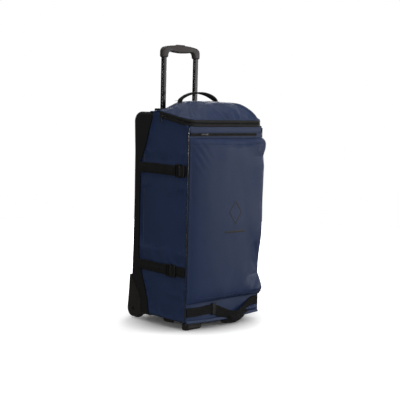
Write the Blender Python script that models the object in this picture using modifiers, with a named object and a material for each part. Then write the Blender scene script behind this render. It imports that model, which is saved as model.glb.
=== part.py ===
"""A wheeled travel duffel: soft bag on a hard back shell, two wheels, a telescopic handle and a zipped lid.

Metres, +Z up, +X to the bag's right as it faces you, front towards -Y. The origin is the middle of the
footprint, on the ground. The trolley handle is pulled out, as in use.
"""

import math

import bmesh
import bpy
from mathutils import Vector

# Clearances.
GAP = 0.0003
SLIDE_GAP = 0.0004

# The bag's body. Y values are measured from the middle of the side panels' depth.
WIDTH = 0.380
HALF = WIDTH / 2
FRONT_Y = -0.145
REAR_Y = 0.164
WAIST_Y = 0.158
TOP_Z = 0.790
BASE_Z = 0.024
FABRIC = 0.003
TOP_REAR_RADIUS = 0.037
EDGE_RADIUS = 0.012

# The hard back shell's front edge: how far the shell reaches round the sides.
SHELL_WALL = 0.003
CORNER_GUARD_Y = 0.054
CORNER_GUARD_Z = TOP_Z - 0.190
STRIP_Y = 0.119
SKIRT_Z = 0.250
SKIRT_Y = 0.059

# The lid and its zip.
ZIP_FRONT_Z = TOP_Z - 0.049
ZIP_SLOPE = 0.183
ZIP_BAND = 0.026
ZIP_REAR_Y = 0.012
ZIP_WALL = 0.0025
ZIP_PROUD = 0.0015
LID_CORNER = 0.028
LID_REAR_Y = 0.086
LID_CREST_Y = 0.013
LID_CREST_Z = TOP_Z + 0.044
LID_WALL = 0.004

# The front pocket.
POCKET_BOTTOM_Z = 0.097
POCKET_TOP_Z = ZIP_FRONT_Z - 0.038
POCKET_BULGE = 0.031
POCKET_ZIP_Z = POCKET_TOP_Z + 0.011
POCKET_ZIP_HEIGHT = 0.012
POCKET_ZIP_LEFT = 0.006 - HALF
POCKET_ZIP_RIGHT = HALF - 0.033
POCKET_SLIDER_X = -0.110

# The trolley handle.
HANDLE_TRAVEL = 0.190
BEZEL_TOP_Z = TOP_Z + 0.013
TUBE_X = 0.082
TUBE_Y = 0.1205
TUBE_SIZE = (0.022, 0.013)
TUBE_WALL = 0.0012
TUBE_BOTTOM_Z = BEZEL_TOP_Z - HANDLE_TRAVEL - 0.011
GUIDE_SIZE = (0.0272, 0.0182)
GUIDE_WALL = 0.0017
GUIDE_BOTTOM_Z = 0.110
GRIP_TOP_Z = BEZEL_TOP_Z + HANDLE_TRAVEL + 0.053
GRIP_SHOULDER_DROP = 0.008
GRIP_UNDER_Z = GRIP_TOP_Z - 0.031
GRIP_LEG_Z = GRIP_TOP_Z - 0.050
GRIP_LEG_WIDTH = 0.030
GRIP_DEPTH = 0.022
BUTTON_TRAVEL = 0.004
BUTTON_LENGTH = 0.042
BEZEL_SIZE = (0.226, 0.040)
PIN_RADIUS = 0.003
PIN_ABOVE_TUBE_END = 0.023

# The wheels.
WHEEL_RADIUS = 0.038
WHEEL_WIDTH = 0.024
WHEEL_X = HALF - 0.022
WHEEL_Y = 0.148
AXLE_RADIUS = 0.0039
BEARING_RADIUS = 0.011
BEARING_WIDTH = 0.007
HUB_RADIUS = 0.027
CHEEK_RADIUS = 0.031
HOUSING_OUTER_X = HALF + 0.002
HOUSING_INNER_X = HALF - 0.060
HOUSING_TOP_Z = 0.167
HOUSING_FRONT_Y = 0.103
WHEEL_ROOM = 0.0035

# The side straps and their buckles: height, and the Y of each buckle's rear end.
STRAPS = {"upper": (0.582, -0.083), "lower": (0.215, -0.046)}
WEB_WIDTH = 0.038
WEB_THICK = 0.002
BUCKLE_HEIGHT = 0.048
BUCKLE_THICK = 0.008
SOCKET_LENGTH = 0.024
PRONG_LENGTH = 0.0265
TONGUE_LENGTH = 0.018

# Feet and the handle at the foot of the bag.
FOOT_X = {"left": 0.052 - HALF, "right": HALF - 0.130}
FOOT_SIZE = (0.084, 0.029)
FOOT_Y = FRONT_Y + 0.0185
SKID_SIZE = (0.020, 0.050)
SKID_X = HALF - 0.058
SKID_Y = 0.005
SKID_BOTTOM_Z = 0.003
TRAY_THICK = 0.0035
BASE_STRAP_HEIGHT = 0.034
BASE_STRAP_THICK = 0.006

# The frame's origin: the middle of the space between the pocket's front and the wheels' rear.
FRONT_REACH = FRONT_Y - GAP - POCKET_BULGE - FABRIC
REAR_REACH = WHEEL_Y + WHEEL_RADIUS
ORIGIN_Y = (FRONT_REACH + REAR_REACH) / 2

SIDES = {"left": -1.0, "right": 1.0}


# ---------------------------------------------------------------- scene and materials

for old in list(bpy.data.objects):
    bpy.data.objects.remove(old)

parts = bpy.data.collections.new("wheeled_duffel")
cutters = bpy.data.collections.new("cutters")
bpy.context.scene.collection.children.link(parts)
bpy.context.scene.collection.children.link(cutters)

origin = bpy.data.objects.new("origin", None)
origin.location.y = -ORIGIN_Y
parts.objects.link(origin)


def material(name, colour, roughness, metallic=0.0):
    made = bpy.data.materials.new(name)
    made.use_nodes = True
    shader = made.node_tree.nodes["Principled BSDF"]
    shader.inputs["Base Color"].default_value = (*colour, 1.0)
    shader.inputs["Roughness"].default_value = roughness
    shader.inputs["Metallic"].default_value = metallic
    return made


NAVY = material("navy_fabric", (0.022, 0.033, 0.068), 0.55)
BLACK_WEB = material("black_webbing", (0.010, 0.010, 0.010), 0.8)
BLACK_PLASTIC = material("black_plastic", (0.016, 0.015, 0.014), 0.45)
GRIP_PLASTIC = material("grip_plastic", (0.055, 0.046, 0.043), 0.5)
TUBE_BLACK = material("black_tube", (0.008, 0.008, 0.008), 0.18, 0.6)
ALUMINIUM = material("aluminium", (0.60, 0.60, 0.62), 0.35, 1.0)
STEEL = material("steel", (0.55, 0.55, 0.56), 0.3, 1.0)
RUBBER = material("tyre_rubber", (0.014, 0.013, 0.013), 0.75)
LINING = material("lining_fabric", (0.08, 0.08, 0.085), 0.85)


# ---------------------------------------------------------------- building tools

def keep(obj, finish, parent=origin):
    """Puts a finished object in the parts, with its material and its parent."""
    parts.objects.link(obj)
    obj.parent = parent
    obj.data.materials.clear()
    obj.data.materials.append(finish)
    return obj


def helper(obj):
    """Puts an object among the cutters, where it is never a part."""
    cutters.objects.link(obj)
    obj.parent = origin
    obj.hide_render = True
    obj.display_type = "WIRE"
    return obj


def mesh_object(name, build):
    """An object whose mesh is filled by build(bm)."""
    mesh = bpy.data.meshes.new(name)
    bm = bmesh.new()
    build(bm)
    bm.to_mesh(mesh)
    bm.free()
    return bpy.data.objects.new(name, mesh)


def box(name, low, high):
    """A box between two corners; its origin is its middle."""
    low, high = Vector(low), Vector(high)

    def build(bm):
        bmesh.ops.create_cube(bm, size=1.0)
        bmesh.ops.scale(bm, vec=high - low, verts=bm.verts)

    obj = mesh_object(name, build)
    obj.location = (low + high) / 2
    return obj


def cylinder(name, radius, x_from, x_to, y, z, segments=24):
    """A cylinder along X; its origin is its middle, on its axis."""
    def build(bm):
        bmesh.ops.create_cone(bm, cap_ends=True, segments=segments, radius1=radius, radius2=radius,
                              depth=abs(x_to - x_from))

    obj = mesh_object(name, build)
    obj.rotation_euler.y = math.pi / 2
    obj.location = ((x_from + x_to) / 2, y, z)
    return obj


def plate(name, outlines, thickness, across):
    """A flat piece: closed outlines, the first outside and any others holes, as thick as asked.

    across is the axis that the thickness runs along. Outline points are (y, z) for X, (x, z) for Y
    and (x, y) for Z, and the plate is centred on that axis's zero.
    """
    curve = bpy.data.curves.new(name, "CURVE")
    curve.dimensions = "2D"
    curve.fill_mode = "BOTH"
    curve.extrude = thickness / 2
    for outline in outlines:
        spline = curve.splines.new("POLY")
        spline.points.add(len(outline) - 1)
        spline.use_cyclic_u = True
        for point, (a, b) in zip(spline.points, outline):
            point.co = (a, b, 0.0, 1.0)
    guide = bpy.data.objects.new(name + "_outline", curve)
    bpy.context.scene.collection.objects.link(guide)
    bpy.context.view_layer.update()
    mesh = bpy.data.meshes.new_from_object(guide.evaluated_get(bpy.context.evaluated_depsgraph_get()))
    bpy.data.objects.remove(guide)
    bm = bmesh.new()
    bm.from_mesh(mesh)
    bmesh.ops.remove_doubles(bm, verts=bm.verts, dist=0.00001)
    for vert in bm.verts:
        a, b, t = vert.co
        vert.co = {"X": (t, a, b), "Y": (a, t, b), "Z": (a, b, t)}[across]
    bmesh.ops.recalc_face_normals(bm, faces=bm.faces)
    if bm.calc_volume(signed=True) < 0:
        bmesh.ops.reverse_faces(bm, faces=bm.faces)
    bm.to_mesh(mesh)
    bm.free()
    mesh.name = name
    return bpy.data.objects.new(name, mesh)


def sheet(name, rows, wall, offset=-1.0):
    """A shell from an open surface: rows of points, thickened by a Solidify modifier."""
    def build(bm):
        grid = [[bm.verts.new(point) for point in row] for row in rows]
        for lower, upper in zip(grid, grid[1:]):
            for i in range(len(lower) - 1):
                bm.faces.new((lower[i], lower[i + 1], upper[i + 1], upper[i]))

    obj = mesh_object(name, build)
    solid = obj.modifiers.new("wall", "SOLIDIFY")
    solid.thickness = wall
    solid.offset = offset
    return obj


def bevel(obj, width, segments=2, angle=30.0):
    rounded = obj.modifiers.new("rounding", "BEVEL")
    rounded.width = width
    rounded.segments = segments
    rounded.limit_method = "ANGLE"
    rounded.angle_limit = math.radians(angle)
    return obj


def cut(obj, *tools):
    for tool in tools:
        boolean = obj.modifiers.new("cut_" + tool.name, "BOOLEAN")
        boolean.operation = "DIFFERENCE"
        boolean.object = tool
    return obj


def join(obj, *tools):
    for tool in tools:
        boolean = obj.modifiers.new("join_" + tool.name, "BOOLEAN")
        boolean.operation = "UNION"
        boolean.object = tool
    return obj


def smooth(obj, angle=35.0):
    obj.data.shade_smooth()
    obj.data.set_sharp_from_angle(angle=math.radians(angle))
    return obj


def arc(centre, radius, start, end, steps):
    """Points on an arc, from start to end degrees."""
    return [(centre[0] + radius * math.cos(math.radians(start + (end - start) * i / steps)),
             centre[1] + radius * math.sin(math.radians(start + (end - start) * i / steps)))
            for i in range(steps + 1)]


def rounded_rectangle(size, radius, steps=3):
    """An outline centred on zero, anticlockwise."""
    a, b = size[0] / 2 - radius, size[1] / 2 - radius
    outline = []
    for quarter, (x, y) in enumerate(((a, b), (-a, b), (-a, -b), (a, -b))):
        outline += arc((x, y), radius, 90 * quarter, 90 * quarter + 90, steps)
    return outline


def grown(outline, by):
    """The outline moved outwards by a distance. The outline runs anticlockwise."""
    result = []
    for i, point in enumerate(outline):
        before, here, after = Vector(outline[i - 1]), Vector(point), Vector(outline[(i + 1) % len(outline)])
        first, second = (here - before).normalized(), (after - here).normalized()
        normal = Vector((first.y + second.y, -first.x - second.x))
        normal /= max(normal.length, 0.001)
        lean = max(normal.dot(Vector((first.y, -first.x))), 0.5)
        moved = here + normal * by / lean
        result.append((moved.x, moved.y))
    return result


# ---------------------------------------------------------------- outlines that pieces share

def between(table, z):
    """The value at z on straight lines between (z, value) pairs."""
    for (low, first), (high, second) in zip(table, table[1:]):
        if z <= high:
            return first + (second - first) * max(z - low, 0.0) / (high - low)
    return table[-1][1]


def rear_y(z):
    """The back's profile: straight at the foot, a shallow waist, out again under the top corner."""
    return between([(0.170, REAR_Y), (0.270, WAIST_Y + 0.003), (0.450, WAIST_Y), (0.640, WAIST_Y + 0.001),
                    (TOP_Z - TOP_REAR_RADIUS, REAR_Y)], z)


def edge_y(z):
    """The back shell's front edge: skirt at the foot, narrow strip, corner guard at the top."""
    return between([(BASE_Z + 0.016, SKIRT_Y), (0.085, SKIRT_Y + 0.008), (0.120, SKIRT_Y + 0.018),
                    (0.160, SKIRT_Y + 0.034), (0.200, STRIP_Y - 0.012), (SKIRT_Z, STRIP_Y),
                    (CORNER_GUARD_Z, STRIP_Y), (0.670, STRIP_Y - 0.030),
                    (0.723, CORNER_GUARD_Y + 0.019), (TOP_Z - 0.016, CORNER_GUARD_Y)], z)


EDGE_LEVELS = ([BASE_Z + 0.016 + 0.008 * i for i in range(6)]
               + [0.095, 0.125, 0.160, 0.200, SKIRT_Z, 0.450, CORNER_GUARD_Z, 0.650]
               + [0.680 + 0.014 * i for i in range(6)]
               + [TOP_Z - 0.023, TOP_Z - 0.016])


def shell_stations(inset):
    """The back shell's section as (y, z), from under the skirt round to the top, one for each edge level."""
    foot = 0.020
    bottom, top = BASE_Z + inset, TOP_Z - inset
    stations = [(SKIRT_Y, bottom), (0.110, bottom)]
    stations += arc((REAR_Y - foot, BASE_Z + foot), foot - inset, -90, 0, 3)
    stations += [(rear_y(z) - inset, z) for z in EDGE_LEVELS[6:14]]
    corner = TOP_REAR_RADIUS
    stations += arc((REAR_Y - corner, TOP_Z - corner), corner - inset, 0, 90, 5)
    return stations + [(0.090, top), (CORNER_GUARD_Y, top)]


def zip_line(y):
    """Height of the lid's parting line at y."""
    return ZIP_FRONT_Z + ZIP_SLOPE * (min(y, ZIP_REAR_Y) - FRONT_Y)


def lid_rim(y):
    """Height of the lid's rim at y: above the zip, level behind it."""
    return zip_line(y) + ZIP_BAND


def lid_half_width(y):
    """Half the lid's width at y, with round front corners."""
    from_front = y - FRONT_Y
    if from_front >= LID_CORNER:
        return HALF
    return HALF - LID_CORNER + math.sqrt(max(LID_CORNER**2 - (LID_CORNER - from_front)**2, 0.0))


def lid_height(x, y, under=0.0):
    """Height of the lid's outside at (x, y), or of a dome that is lower by under at its crest."""
    if y < LID_CREST_Y:
        along = ((LID_CREST_Y - y) / (LID_CREST_Y - FRONT_Y)) ** 2.4
    else:
        along = 0.72 * ((y - LID_CREST_Y) / (LID_REAR_Y - LID_CREST_Y)) ** 2
    across = min(abs(x) / lid_half_width(y), 1.0) ** 3.6
    return lid_rim(y) + (LID_CREST_Z - under - lid_rim(y)) * (1 - across) * (1 - along)


# ---------------------------------------------------------------- the bag

def housing_outline():
    """The wheel housing's cheek as (y, z), anticlockwise: a leaf shape with a round foot on the axle."""
    return (
        arc((WHEEL_Y, WHEEL_RADIUS), CHEEK_RADIUS, 225, 365, 8)
        + [(0.173, 0.105), (0.169, HOUSING_TOP_Z - 0.006), (0.164, HOUSING_TOP_Z)]
        + [(0.142, 0.136), (0.117, 0.105), (HOUSING_FRONT_Y + 0.002, 0.066), (HOUSING_FRONT_Y, 0.026)]
    )


def back_shell():
    """A shallow tray: the back, wrapped round the foot and the top, with a flange on each side."""
    outside, inside = shell_stations(0.0), shell_stations(EDGE_RADIUS)
    rows = []
    for level, (outer_y, outer_z), (inner_y, inner_z) in zip(EDGE_LEVELS, outside, inside):
        half_row = [(HALF, edge_y(level), level), (HALF, inner_y, inner_z)]
        for degrees in (30, 60, 90):
            turn = math.radians(degrees)
            out = math.sin(turn)
            half_row.append((HALF - EDGE_RADIUS + EDGE_RADIUS * math.cos(turn),
                             inner_y + (outer_y - inner_y) * out, inner_z + (outer_z - inner_z) * out))
        rows.append(half_row + [(-x, y, z) for x, y, z in reversed(half_row)])
    shell = sheet("back_shell", rows, SHELL_WALL)

    bezel_hole = helper(plate("shell_bezel_hole", [rounded_rectangle(
        (BEZEL_SIZE[0] + 2 * GAP, BEZEL_SIZE[1] + 2 * GAP), 0.010 + GAP)], 0.08, "Z"))
    bezel_hole.location = (0, TUBE_Y, TOP_Z)
    tools = [bezel_hole]
    for side, sign in SIDES.items():
        depth = 0.1
        room = helper(plate(f"shell_housing_{side}", [grown(housing_outline(), 0.0006)], depth, "X"))
        room.location.x = sign * (HOUSING_INNER_X - GAP + depth / 2)
        tools.append(room)
    cut(shell, *tools)
    return keep(smooth(shell), BLACK_PLASTIC)


def top_bezel():
    height = 0.0175
    piece = plate("top_bezel", [rounded_rectangle(BEZEL_SIZE, 0.010)], height, "Z")
    piece.location = (0, TUBE_Y, BEZEL_TOP_Z - height / 2)
    bevel(piece, 0.002, 2, 60)
    room = 2 * GAP
    for side, sign in SIDES.items():
        hole = helper(plate(f"bezel_hole_{side}", [rounded_rectangle(
            (TUBE_SIZE[0] + room, TUBE_SIZE[1] + room), 0.005 + GAP)], 0.06, "Z"))
        hole.location = (sign * TUBE_X, TUBE_Y, BEZEL_TOP_Z)
        cut(piece, hole)
    return keep(piece, BLACK_PLASTIC), BEZEL_TOP_Z - height


def side_panel(side, sign):
    top = TOP_Z - 0.0005
    outline = [(SKIRT_Y - GAP, BASE_Z)] + [(edge_y(z) - GAP, z) for z in EDGE_LEVELS]
    outline += [
        (CORNER_GUARD_Y - GAP, top),
        (ZIP_REAR_Y + 0.004, top),
        (ZIP_REAR_Y + 0.001, zip_line(ZIP_REAR_Y)),
        (FRONT_Y, zip_line(FRONT_Y)),
        (FRONT_Y, BASE_Z + 0.008),
        (FRONT_Y + 0.050, BASE_Z + 0.008),
    ]
    piece = plate(f"side_panel_{side}", [outline], FABRIC, "X")
    piece.location.x = sign * (HALF - FABRIC / 2)
    return keep(piece, NAVY)


def front_wall():
    half = HALF - FABRIC - GAP
    piece = box("front_wall", (-half, FRONT_Y, BASE_Z), (half, FRONT_Y + FABRIC, ZIP_FRONT_Z - GAP))
    return keep(piece, NAVY)


def front_pocket():
    """A puffed panel: high all over, rounding steeply into its sewn edge."""
    columns, levels = 14, 12
    half = HALF - FABRIC
    middle = (POCKET_TOP_Z + POCKET_BOTTOM_Z) / 2
    reach = (POCKET_TOP_Z - POCKET_BOTTOM_Z) / 2 - FABRIC
    rows = []
    for j in range(levels + 1):
        v = math.sin(math.pi / 2 * (2 * j / levels - 1))
        row = []
        for i in range(columns + 1):
            u = math.sin(math.pi / 2 * (2 * i / columns - 1))
            puff = POCKET_BULGE * ((1 - u**6) ** 0.4) * ((1 - v**8) ** 0.4)
            row.append((u * half, FRONT_Y - GAP - puff, middle + v * reach))
        rows.append(row)
    return keep(smooth(sheet("front_pocket", rows, FABRIC, 1.0)), NAVY)


def base_tray():
    half = HALF - EDGE_RADIUS
    bottom = BASE_Z + SHELL_WALL + GAP
    front, rear = FRONT_Y + FABRIC + GAP, HOUSING_FRONT_Y - 0.004
    piece = box("base_tray", (-half, front, bottom), (half, rear, bottom + TRAY_THICK))
    keep(piece, BLACK_PLASTIC)
    return bottom


def liner_panel():
    half = HALF - SHELL_WALL - 2 * GAP
    rear = HOUSING_FRONT_Y - 0.0015
    low = (-half, rear - 0.002, BASE_Z + EDGE_RADIUS + GAP)
    return keep(box("liner_panel", low, (half, rear, TOP_Z - EDGE_RADIUS - GAP)), LINING)


def zip_band(name, low_offset, height):
    """A band in a U round the lid's front and sides, following the parting line."""
    outside = HALF + ZIP_PROUD
    front = FRONT_Y - ZIP_PROUD
    corner = LID_CORNER + ZIP_PROUD
    stretch = [(-outside, ZIP_REAR_Y), (-outside, -0.060)]
    stretch += [(-outside + corner - corner * math.cos(a), front + corner - corner * math.sin(a))
                for a in (math.pi / 2 * i / 5 for i in range(6))]
    stretch += [(-0.08, front), (0.0, front)]
    path = stretch + [(-x, y) for x, y in reversed(stretch[:-1])]
    rows = [[(x, y, zip_line(y) + low_offset + height * level) for x, y in path] for level in (0.0, 1.0)]
    return keep(smooth(sheet(name, rows, ZIP_WALL)), BLACK_WEB)


def pocket_zip_tape():
    low = (POCKET_ZIP_LEFT, FRONT_Y - GAP - 0.0015, POCKET_ZIP_Z - POCKET_ZIP_HEIGHT / 2)
    high = (POCKET_ZIP_RIGHT, FRONT_Y - GAP, POCKET_ZIP_Z + POCKET_ZIP_HEIGHT / 2)
    return keep(box("pocket_zip_tape", low, high), BLACK_WEB)


def pocket_zip_slider():
    """The slider with its pull lying along the zip."""
    outline = [(0.0, -0.0045), (0.009, -0.0045)] + arc((0.009, 0.0), 0.0045, -60, 60, 4) + [(0.009, 0.0045)]
    outline += [(0.0, 0.0045), (-0.002, 0.0025), (-0.024, 0.0030), (-0.026, 0.0), (-0.024, -0.0030), (-0.002, -0.0025)]
    thick = 0.003
    piece = plate("pocket_zip_slider", [outline], thick, "Y")
    piece.location = (POCKET_SLIDER_X, FRONT_Y - 2 * GAP - 0.0015 - thick / 2, POCKET_ZIP_Z)
    return keep(piece, BLACK_PLASTIC)


def lid_zip_slider():
    """The lid's slider, at the rear end of the left run, with its pull hanging."""
    thick = 0.003
    outline = [(-0.006, -0.004), (0.004, -0.004), (0.006, -0.026), (0.011, -0.026), (0.010, -0.002), (0.007, 0.005)]
    outline += [(-0.006, 0.005)]
    piece = plate("lid_zip_slider", [outline], thick, "X")
    y = ZIP_REAR_Y - 0.014
    piece.location = (-HALF - ZIP_PROUD - GAP - thick / 2, y, zip_line(y) + ZIP_BAND / 2)
    return keep(piece, BLACK_PLASTIC)


def lid_shell():
    columns = 14
    ys = [FRONT_Y + LID_CORNER * (1 - math.cos(math.pi / 2 * i / 4)) for i in range(5)]
    ys += [FRONT_Y + LID_CORNER + (LID_CREST_Y - FRONT_Y - LID_CORNER) * i / 5 for i in range(1, 6)]
    ys += [LID_CREST_Y + (LID_REAR_Y - LID_CREST_Y) * i / 4 for i in range(1, 5)]
    rows = []
    for y in ys:
        half = lid_half_width(y) - LID_WALL / 2
        row = []
        for i in range(columns + 1):
            x = half * math.sin(math.pi / 2 * (2 * i / columns - 1))
            row.append((x, y, lid_height(x, y, LID_WALL) + GAP))
        rows.append(row)
    return keep(smooth(sheet("lid_shell", rows, LID_WALL, 1.0)), NAVY)


def lid_hinge_strip():
    """The folded fabric strip that the lid's rear edge turns on, on top of the back shell."""
    half = HALF - 0.020
    low = (-half, LID_REAR_Y - 0.022, TOP_Z + GAP)
    return keep(box("lid_hinge_strip", low, (half, LID_REAR_Y - GAP, lid_rim(LID_REAR_Y) - GAP)), NAVY)


def haul_handle():
    """A padded webbing arch across the lid's crest, its two ends sewn flat."""
    thick, width = 0.005, 0.026
    reach, flat, rise = 0.094, 0.022, 0.031
    stations = [-reach - flat, -reach - flat / 2] + [reach * (i / 6 - 1) for i in range(13)]
    stations += [reach + flat / 2, reach + flat]
    seat = thick / 2 + GAP
    row_front, row_rear = [], []
    for x in stations:
        if abs(x) >= reach - 0.0001:
            z = lid_height(x, LID_CREST_Y) + seat + 0.0015
        else:
            z = lid_height(reach, LID_CREST_Y) + seat + 0.0015 + rise * (1 - (x / reach) ** 2) ** 0.75
        row_front.append((x, LID_CREST_Y - width / 2, z))
        row_rear.append((x, LID_CREST_Y + width / 2, z))
    return keep(smooth(sheet("haul_handle", [row_front, row_rear], thick, 0.0)), BLACK_WEB)


# ---------------------------------------------------------------- trolley handle

def hollow_tube(name, size, wall, radius, low, high, finish, x):
    outer = rounded_rectangle(size, radius)
    inner = rounded_rectangle((size[0] - 2 * wall, size[1] - 2 * wall), radius - wall)
    piece = plate(name, [outer, inner], high - low, "Z")
    piece.location = (x, TUBE_Y, (low + high) / 2)
    return piece, finish


def trolley(bezel_bottom):
    pin_z = TUBE_BOTTOM_Z + PIN_ABOVE_TUBE_END
    guide_top = bezel_bottom - GAP
    tube_top = GRIP_UNDER_Z + 0.003
    guide_outer = GUIDE_SIZE[0] / 2
    tube_outer = TUBE_SIZE[0] / 2
    yoke_z = GRIP_UNDER_Z + 0.014
    yoke_height = 0.004

    for side, sign in SIDES.items():
        x = sign * TUBE_X
        guide, finish = hollow_tube(f"guide_tube_{side}", GUIDE_SIZE, GUIDE_WALL, 0.006,
                                    GUIDE_BOTTOM_Z, guide_top, ALUMINIUM, x)
        room = SLIDE_GAP + PIN_RADIUS
        slot = helper(box(f"pin_slot_{side}", (-0.003, -room, pin_z - HANDLE_TRAVEL - room), (0.003, room, pin_z + room)))
        slot.location += Vector((x + sign * guide_outer, TUBE_Y, 0))
        cut(guide, slot)
        keep(guide, finish)

        tube, finish = hollow_tube(f"inner_tube_{side}", TUBE_SIZE, TUBE_WALL, 0.005,
                                   TUBE_BOTTOM_Z, tube_top, TUBE_BLACK, x)
        wall_x = x + sign * tube_outer
        pin_hole = helper(cylinder(f"pin_hole_{side}", PIN_RADIUS + GAP, wall_x - 0.003, wall_x + 0.003, TUBE_Y, pin_z))
        cut(tube, pin_hole)
        keep(tube, finish)

        plug_size = (GUIDE_SIZE[0] - 2 * GUIDE_WALL - 2 * GAP, GUIDE_SIZE[1] - 2 * GUIDE_WALL - 2 * GAP)
        plug = plate(f"tube_plug_{side}", [rounded_rectangle(plug_size, 0.0038)], 0.012, "Z")
        plug.location = (x, TUBE_Y, TUBE_BOTTOM_Z - GAP - 0.006)
        keep(plug, BLACK_PLASTIC)

        tip = TUBE_X + guide_outer - GAP
        pin = cylinder(f"lock_pin_{side}", PIN_RADIUS, sign * (TUBE_X - 0.0045), sign * tip, TUBE_Y, pin_z, 16)
        keep(pin, STEEL)

        rod_low, rod_high = pin_z + PIN_RADIUS + BUTTON_TRAVEL + GAP, yoke_z - GAP
        rod = mesh_object(f"push_rod_{side}", lambda bm: bmesh.ops.create_cone(
            bm, cap_ends=True, segments=12, radius1=0.0015, radius2=0.0015, depth=rod_high - rod_low))
        rod.location = (x, TUBE_Y, (rod_low + rod_high) / 2)
        keep(rod, STEEL)

        foot_rear = REAR_Y - SHELL_WALL - 0.003
        foot = box(f"guide_foot_{side}", (x - 0.019, TUBE_Y - 0.012, GUIDE_BOTTOM_Z - GAP - 0.022),
                   (x + 0.019, foot_rear, GUIDE_BOTTOM_Z - GAP))
        keep(bevel(foot, 0.002), BLACK_PLASTIC)

    # The grip: an arched bar with two legs that the tubes fit into.
    outer, inner = TUBE_X + GRIP_LEG_WIDTH / 2, TUBE_X - GRIP_LEG_WIDTH / 2
    shoulder = GRIP_TOP_Z - GRIP_SHOULDER_DROP
    half = arc((outer - 0.018, shoulder - 0.018), 0.018, 0, 78, 4)
    crown = [(x, GRIP_TOP_Z - GRIP_SHOULDER_DROP * (x / 0.083) ** 2) for x in (0.060, 0.040, 0.020, 0.0)]
    under = [(x, GRIP_UNDER_Z + 0.006 * (x / 0.058) ** 2) for x in (0.0, 0.030, 0.050)]
    under += [(inner - 0.006, GRIP_UNDER_Z + 0.004), (inner, GRIP_UNDER_Z - 0.006), (inner, GRIP_LEG_Z)]
    right = [(outer, GRIP_LEG_Z)] + half + crown
    outline = right + [(-x, z) for x, z in reversed(right[:-1])]
    outline += [(-x, z) for x, z in reversed(under[1:])] + under
    grip = plate("grip", [outline], GRIP_DEPTH, "Y")
    grip.location.y = TUBE_Y
    bevel(grip, 0.005, 2, 50)
    tools = []
    for side, sign in SIDES.items():
        socket = helper(plate(f"grip_socket_{side}", [rounded_rectangle(
            (TUBE_SIZE[0] + 2 * GAP, TUBE_SIZE[1] + 2 * GAP), 0.005 + GAP)], 0.060, "Z"))
        socket.location = (sign * TUBE_X, TUBE_Y, tube_top + GAP - 0.030)
        riser = helper(box(f"grip_riser_{side}", (sign * TUBE_X - 0.004, TUBE_Y - 0.0045, tube_top - 0.01),
                           (sign * TUBE_X + 0.004, TUBE_Y + 0.0045, yoke_z + yoke_height + GAP)))
        tools += [socket, riser]
    channel = TUBE_X + 0.0035
    floor = yoke_z - BUTTON_TRAVEL - SLIDE_GAP
    tools.append(helper(box("grip_channel", (-channel, TUBE_Y - 0.0045, floor),
                            (channel, TUBE_Y + 0.0045, yoke_z + yoke_height + GAP))))
    pocket = BUTTON_LENGTH / 2 + SLIDE_GAP
    tools.append(helper(box("grip_button_pocket", (-pocket, TUBE_Y - 0.0055, floor + 0.004),
                            (pocket, TUBE_Y + 0.0055, GRIP_TOP_Z + 0.01))))
    cut(grip, *tools)
    keep(smooth(grip), GRIP_PLASTIC)

    # The release button: a cap on a post, on the yoke that reaches both push rods.
    cap_low = yoke_z + yoke_height + BUTTON_TRAVEL + GAP
    button = box("release_button", (-BUTTON_LENGTH / 2, TUBE_Y - 0.005, cap_low),
                 (BUTTON_LENGTH / 2, TUBE_Y + 0.005, GRIP_TOP_Z + 0.0015))
    yoke = helper(box("button_yoke", (-TUBE_X - 0.003, TUBE_Y - 0.004, yoke_z),
                      (TUBE_X + 0.003, TUBE_Y + 0.004, yoke_z + yoke_height)))
    post = helper(box("button_post", (-0.010, TUBE_Y - 0.003, yoke_z + 0.001), (0.010, TUBE_Y + 0.003, cap_low + 0.001)))
    keep(join(button, post, yoke), BLACK_PLASTIC)


# ---------------------------------------------------------------- wheels

def turned(name, profile, x, y, z, segments, finish):
    """A ring about X: profile is (distance along X, radius) points round its section."""
    def build(bm):
        verts = [bm.verts.new((radius, 0.0, along)) for along, radius in profile]
        for i in range(len(verts)):
            bm.edges.new((verts[i], verts[(i + 1) % len(verts)]))

    obj = mesh_object(name, build)
    screw = obj.modifiers.new("turn", "SCREW")
    screw.axis = "Z"
    screw.steps = screw.render_steps = segments
    screw.use_merge_vertices = True
    screw.merge_threshold = 0.00005
    obj.rotation_euler.y = math.pi / 2
    obj.location = (x, y, z)
    return keep(smooth(obj), finish)


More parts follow.
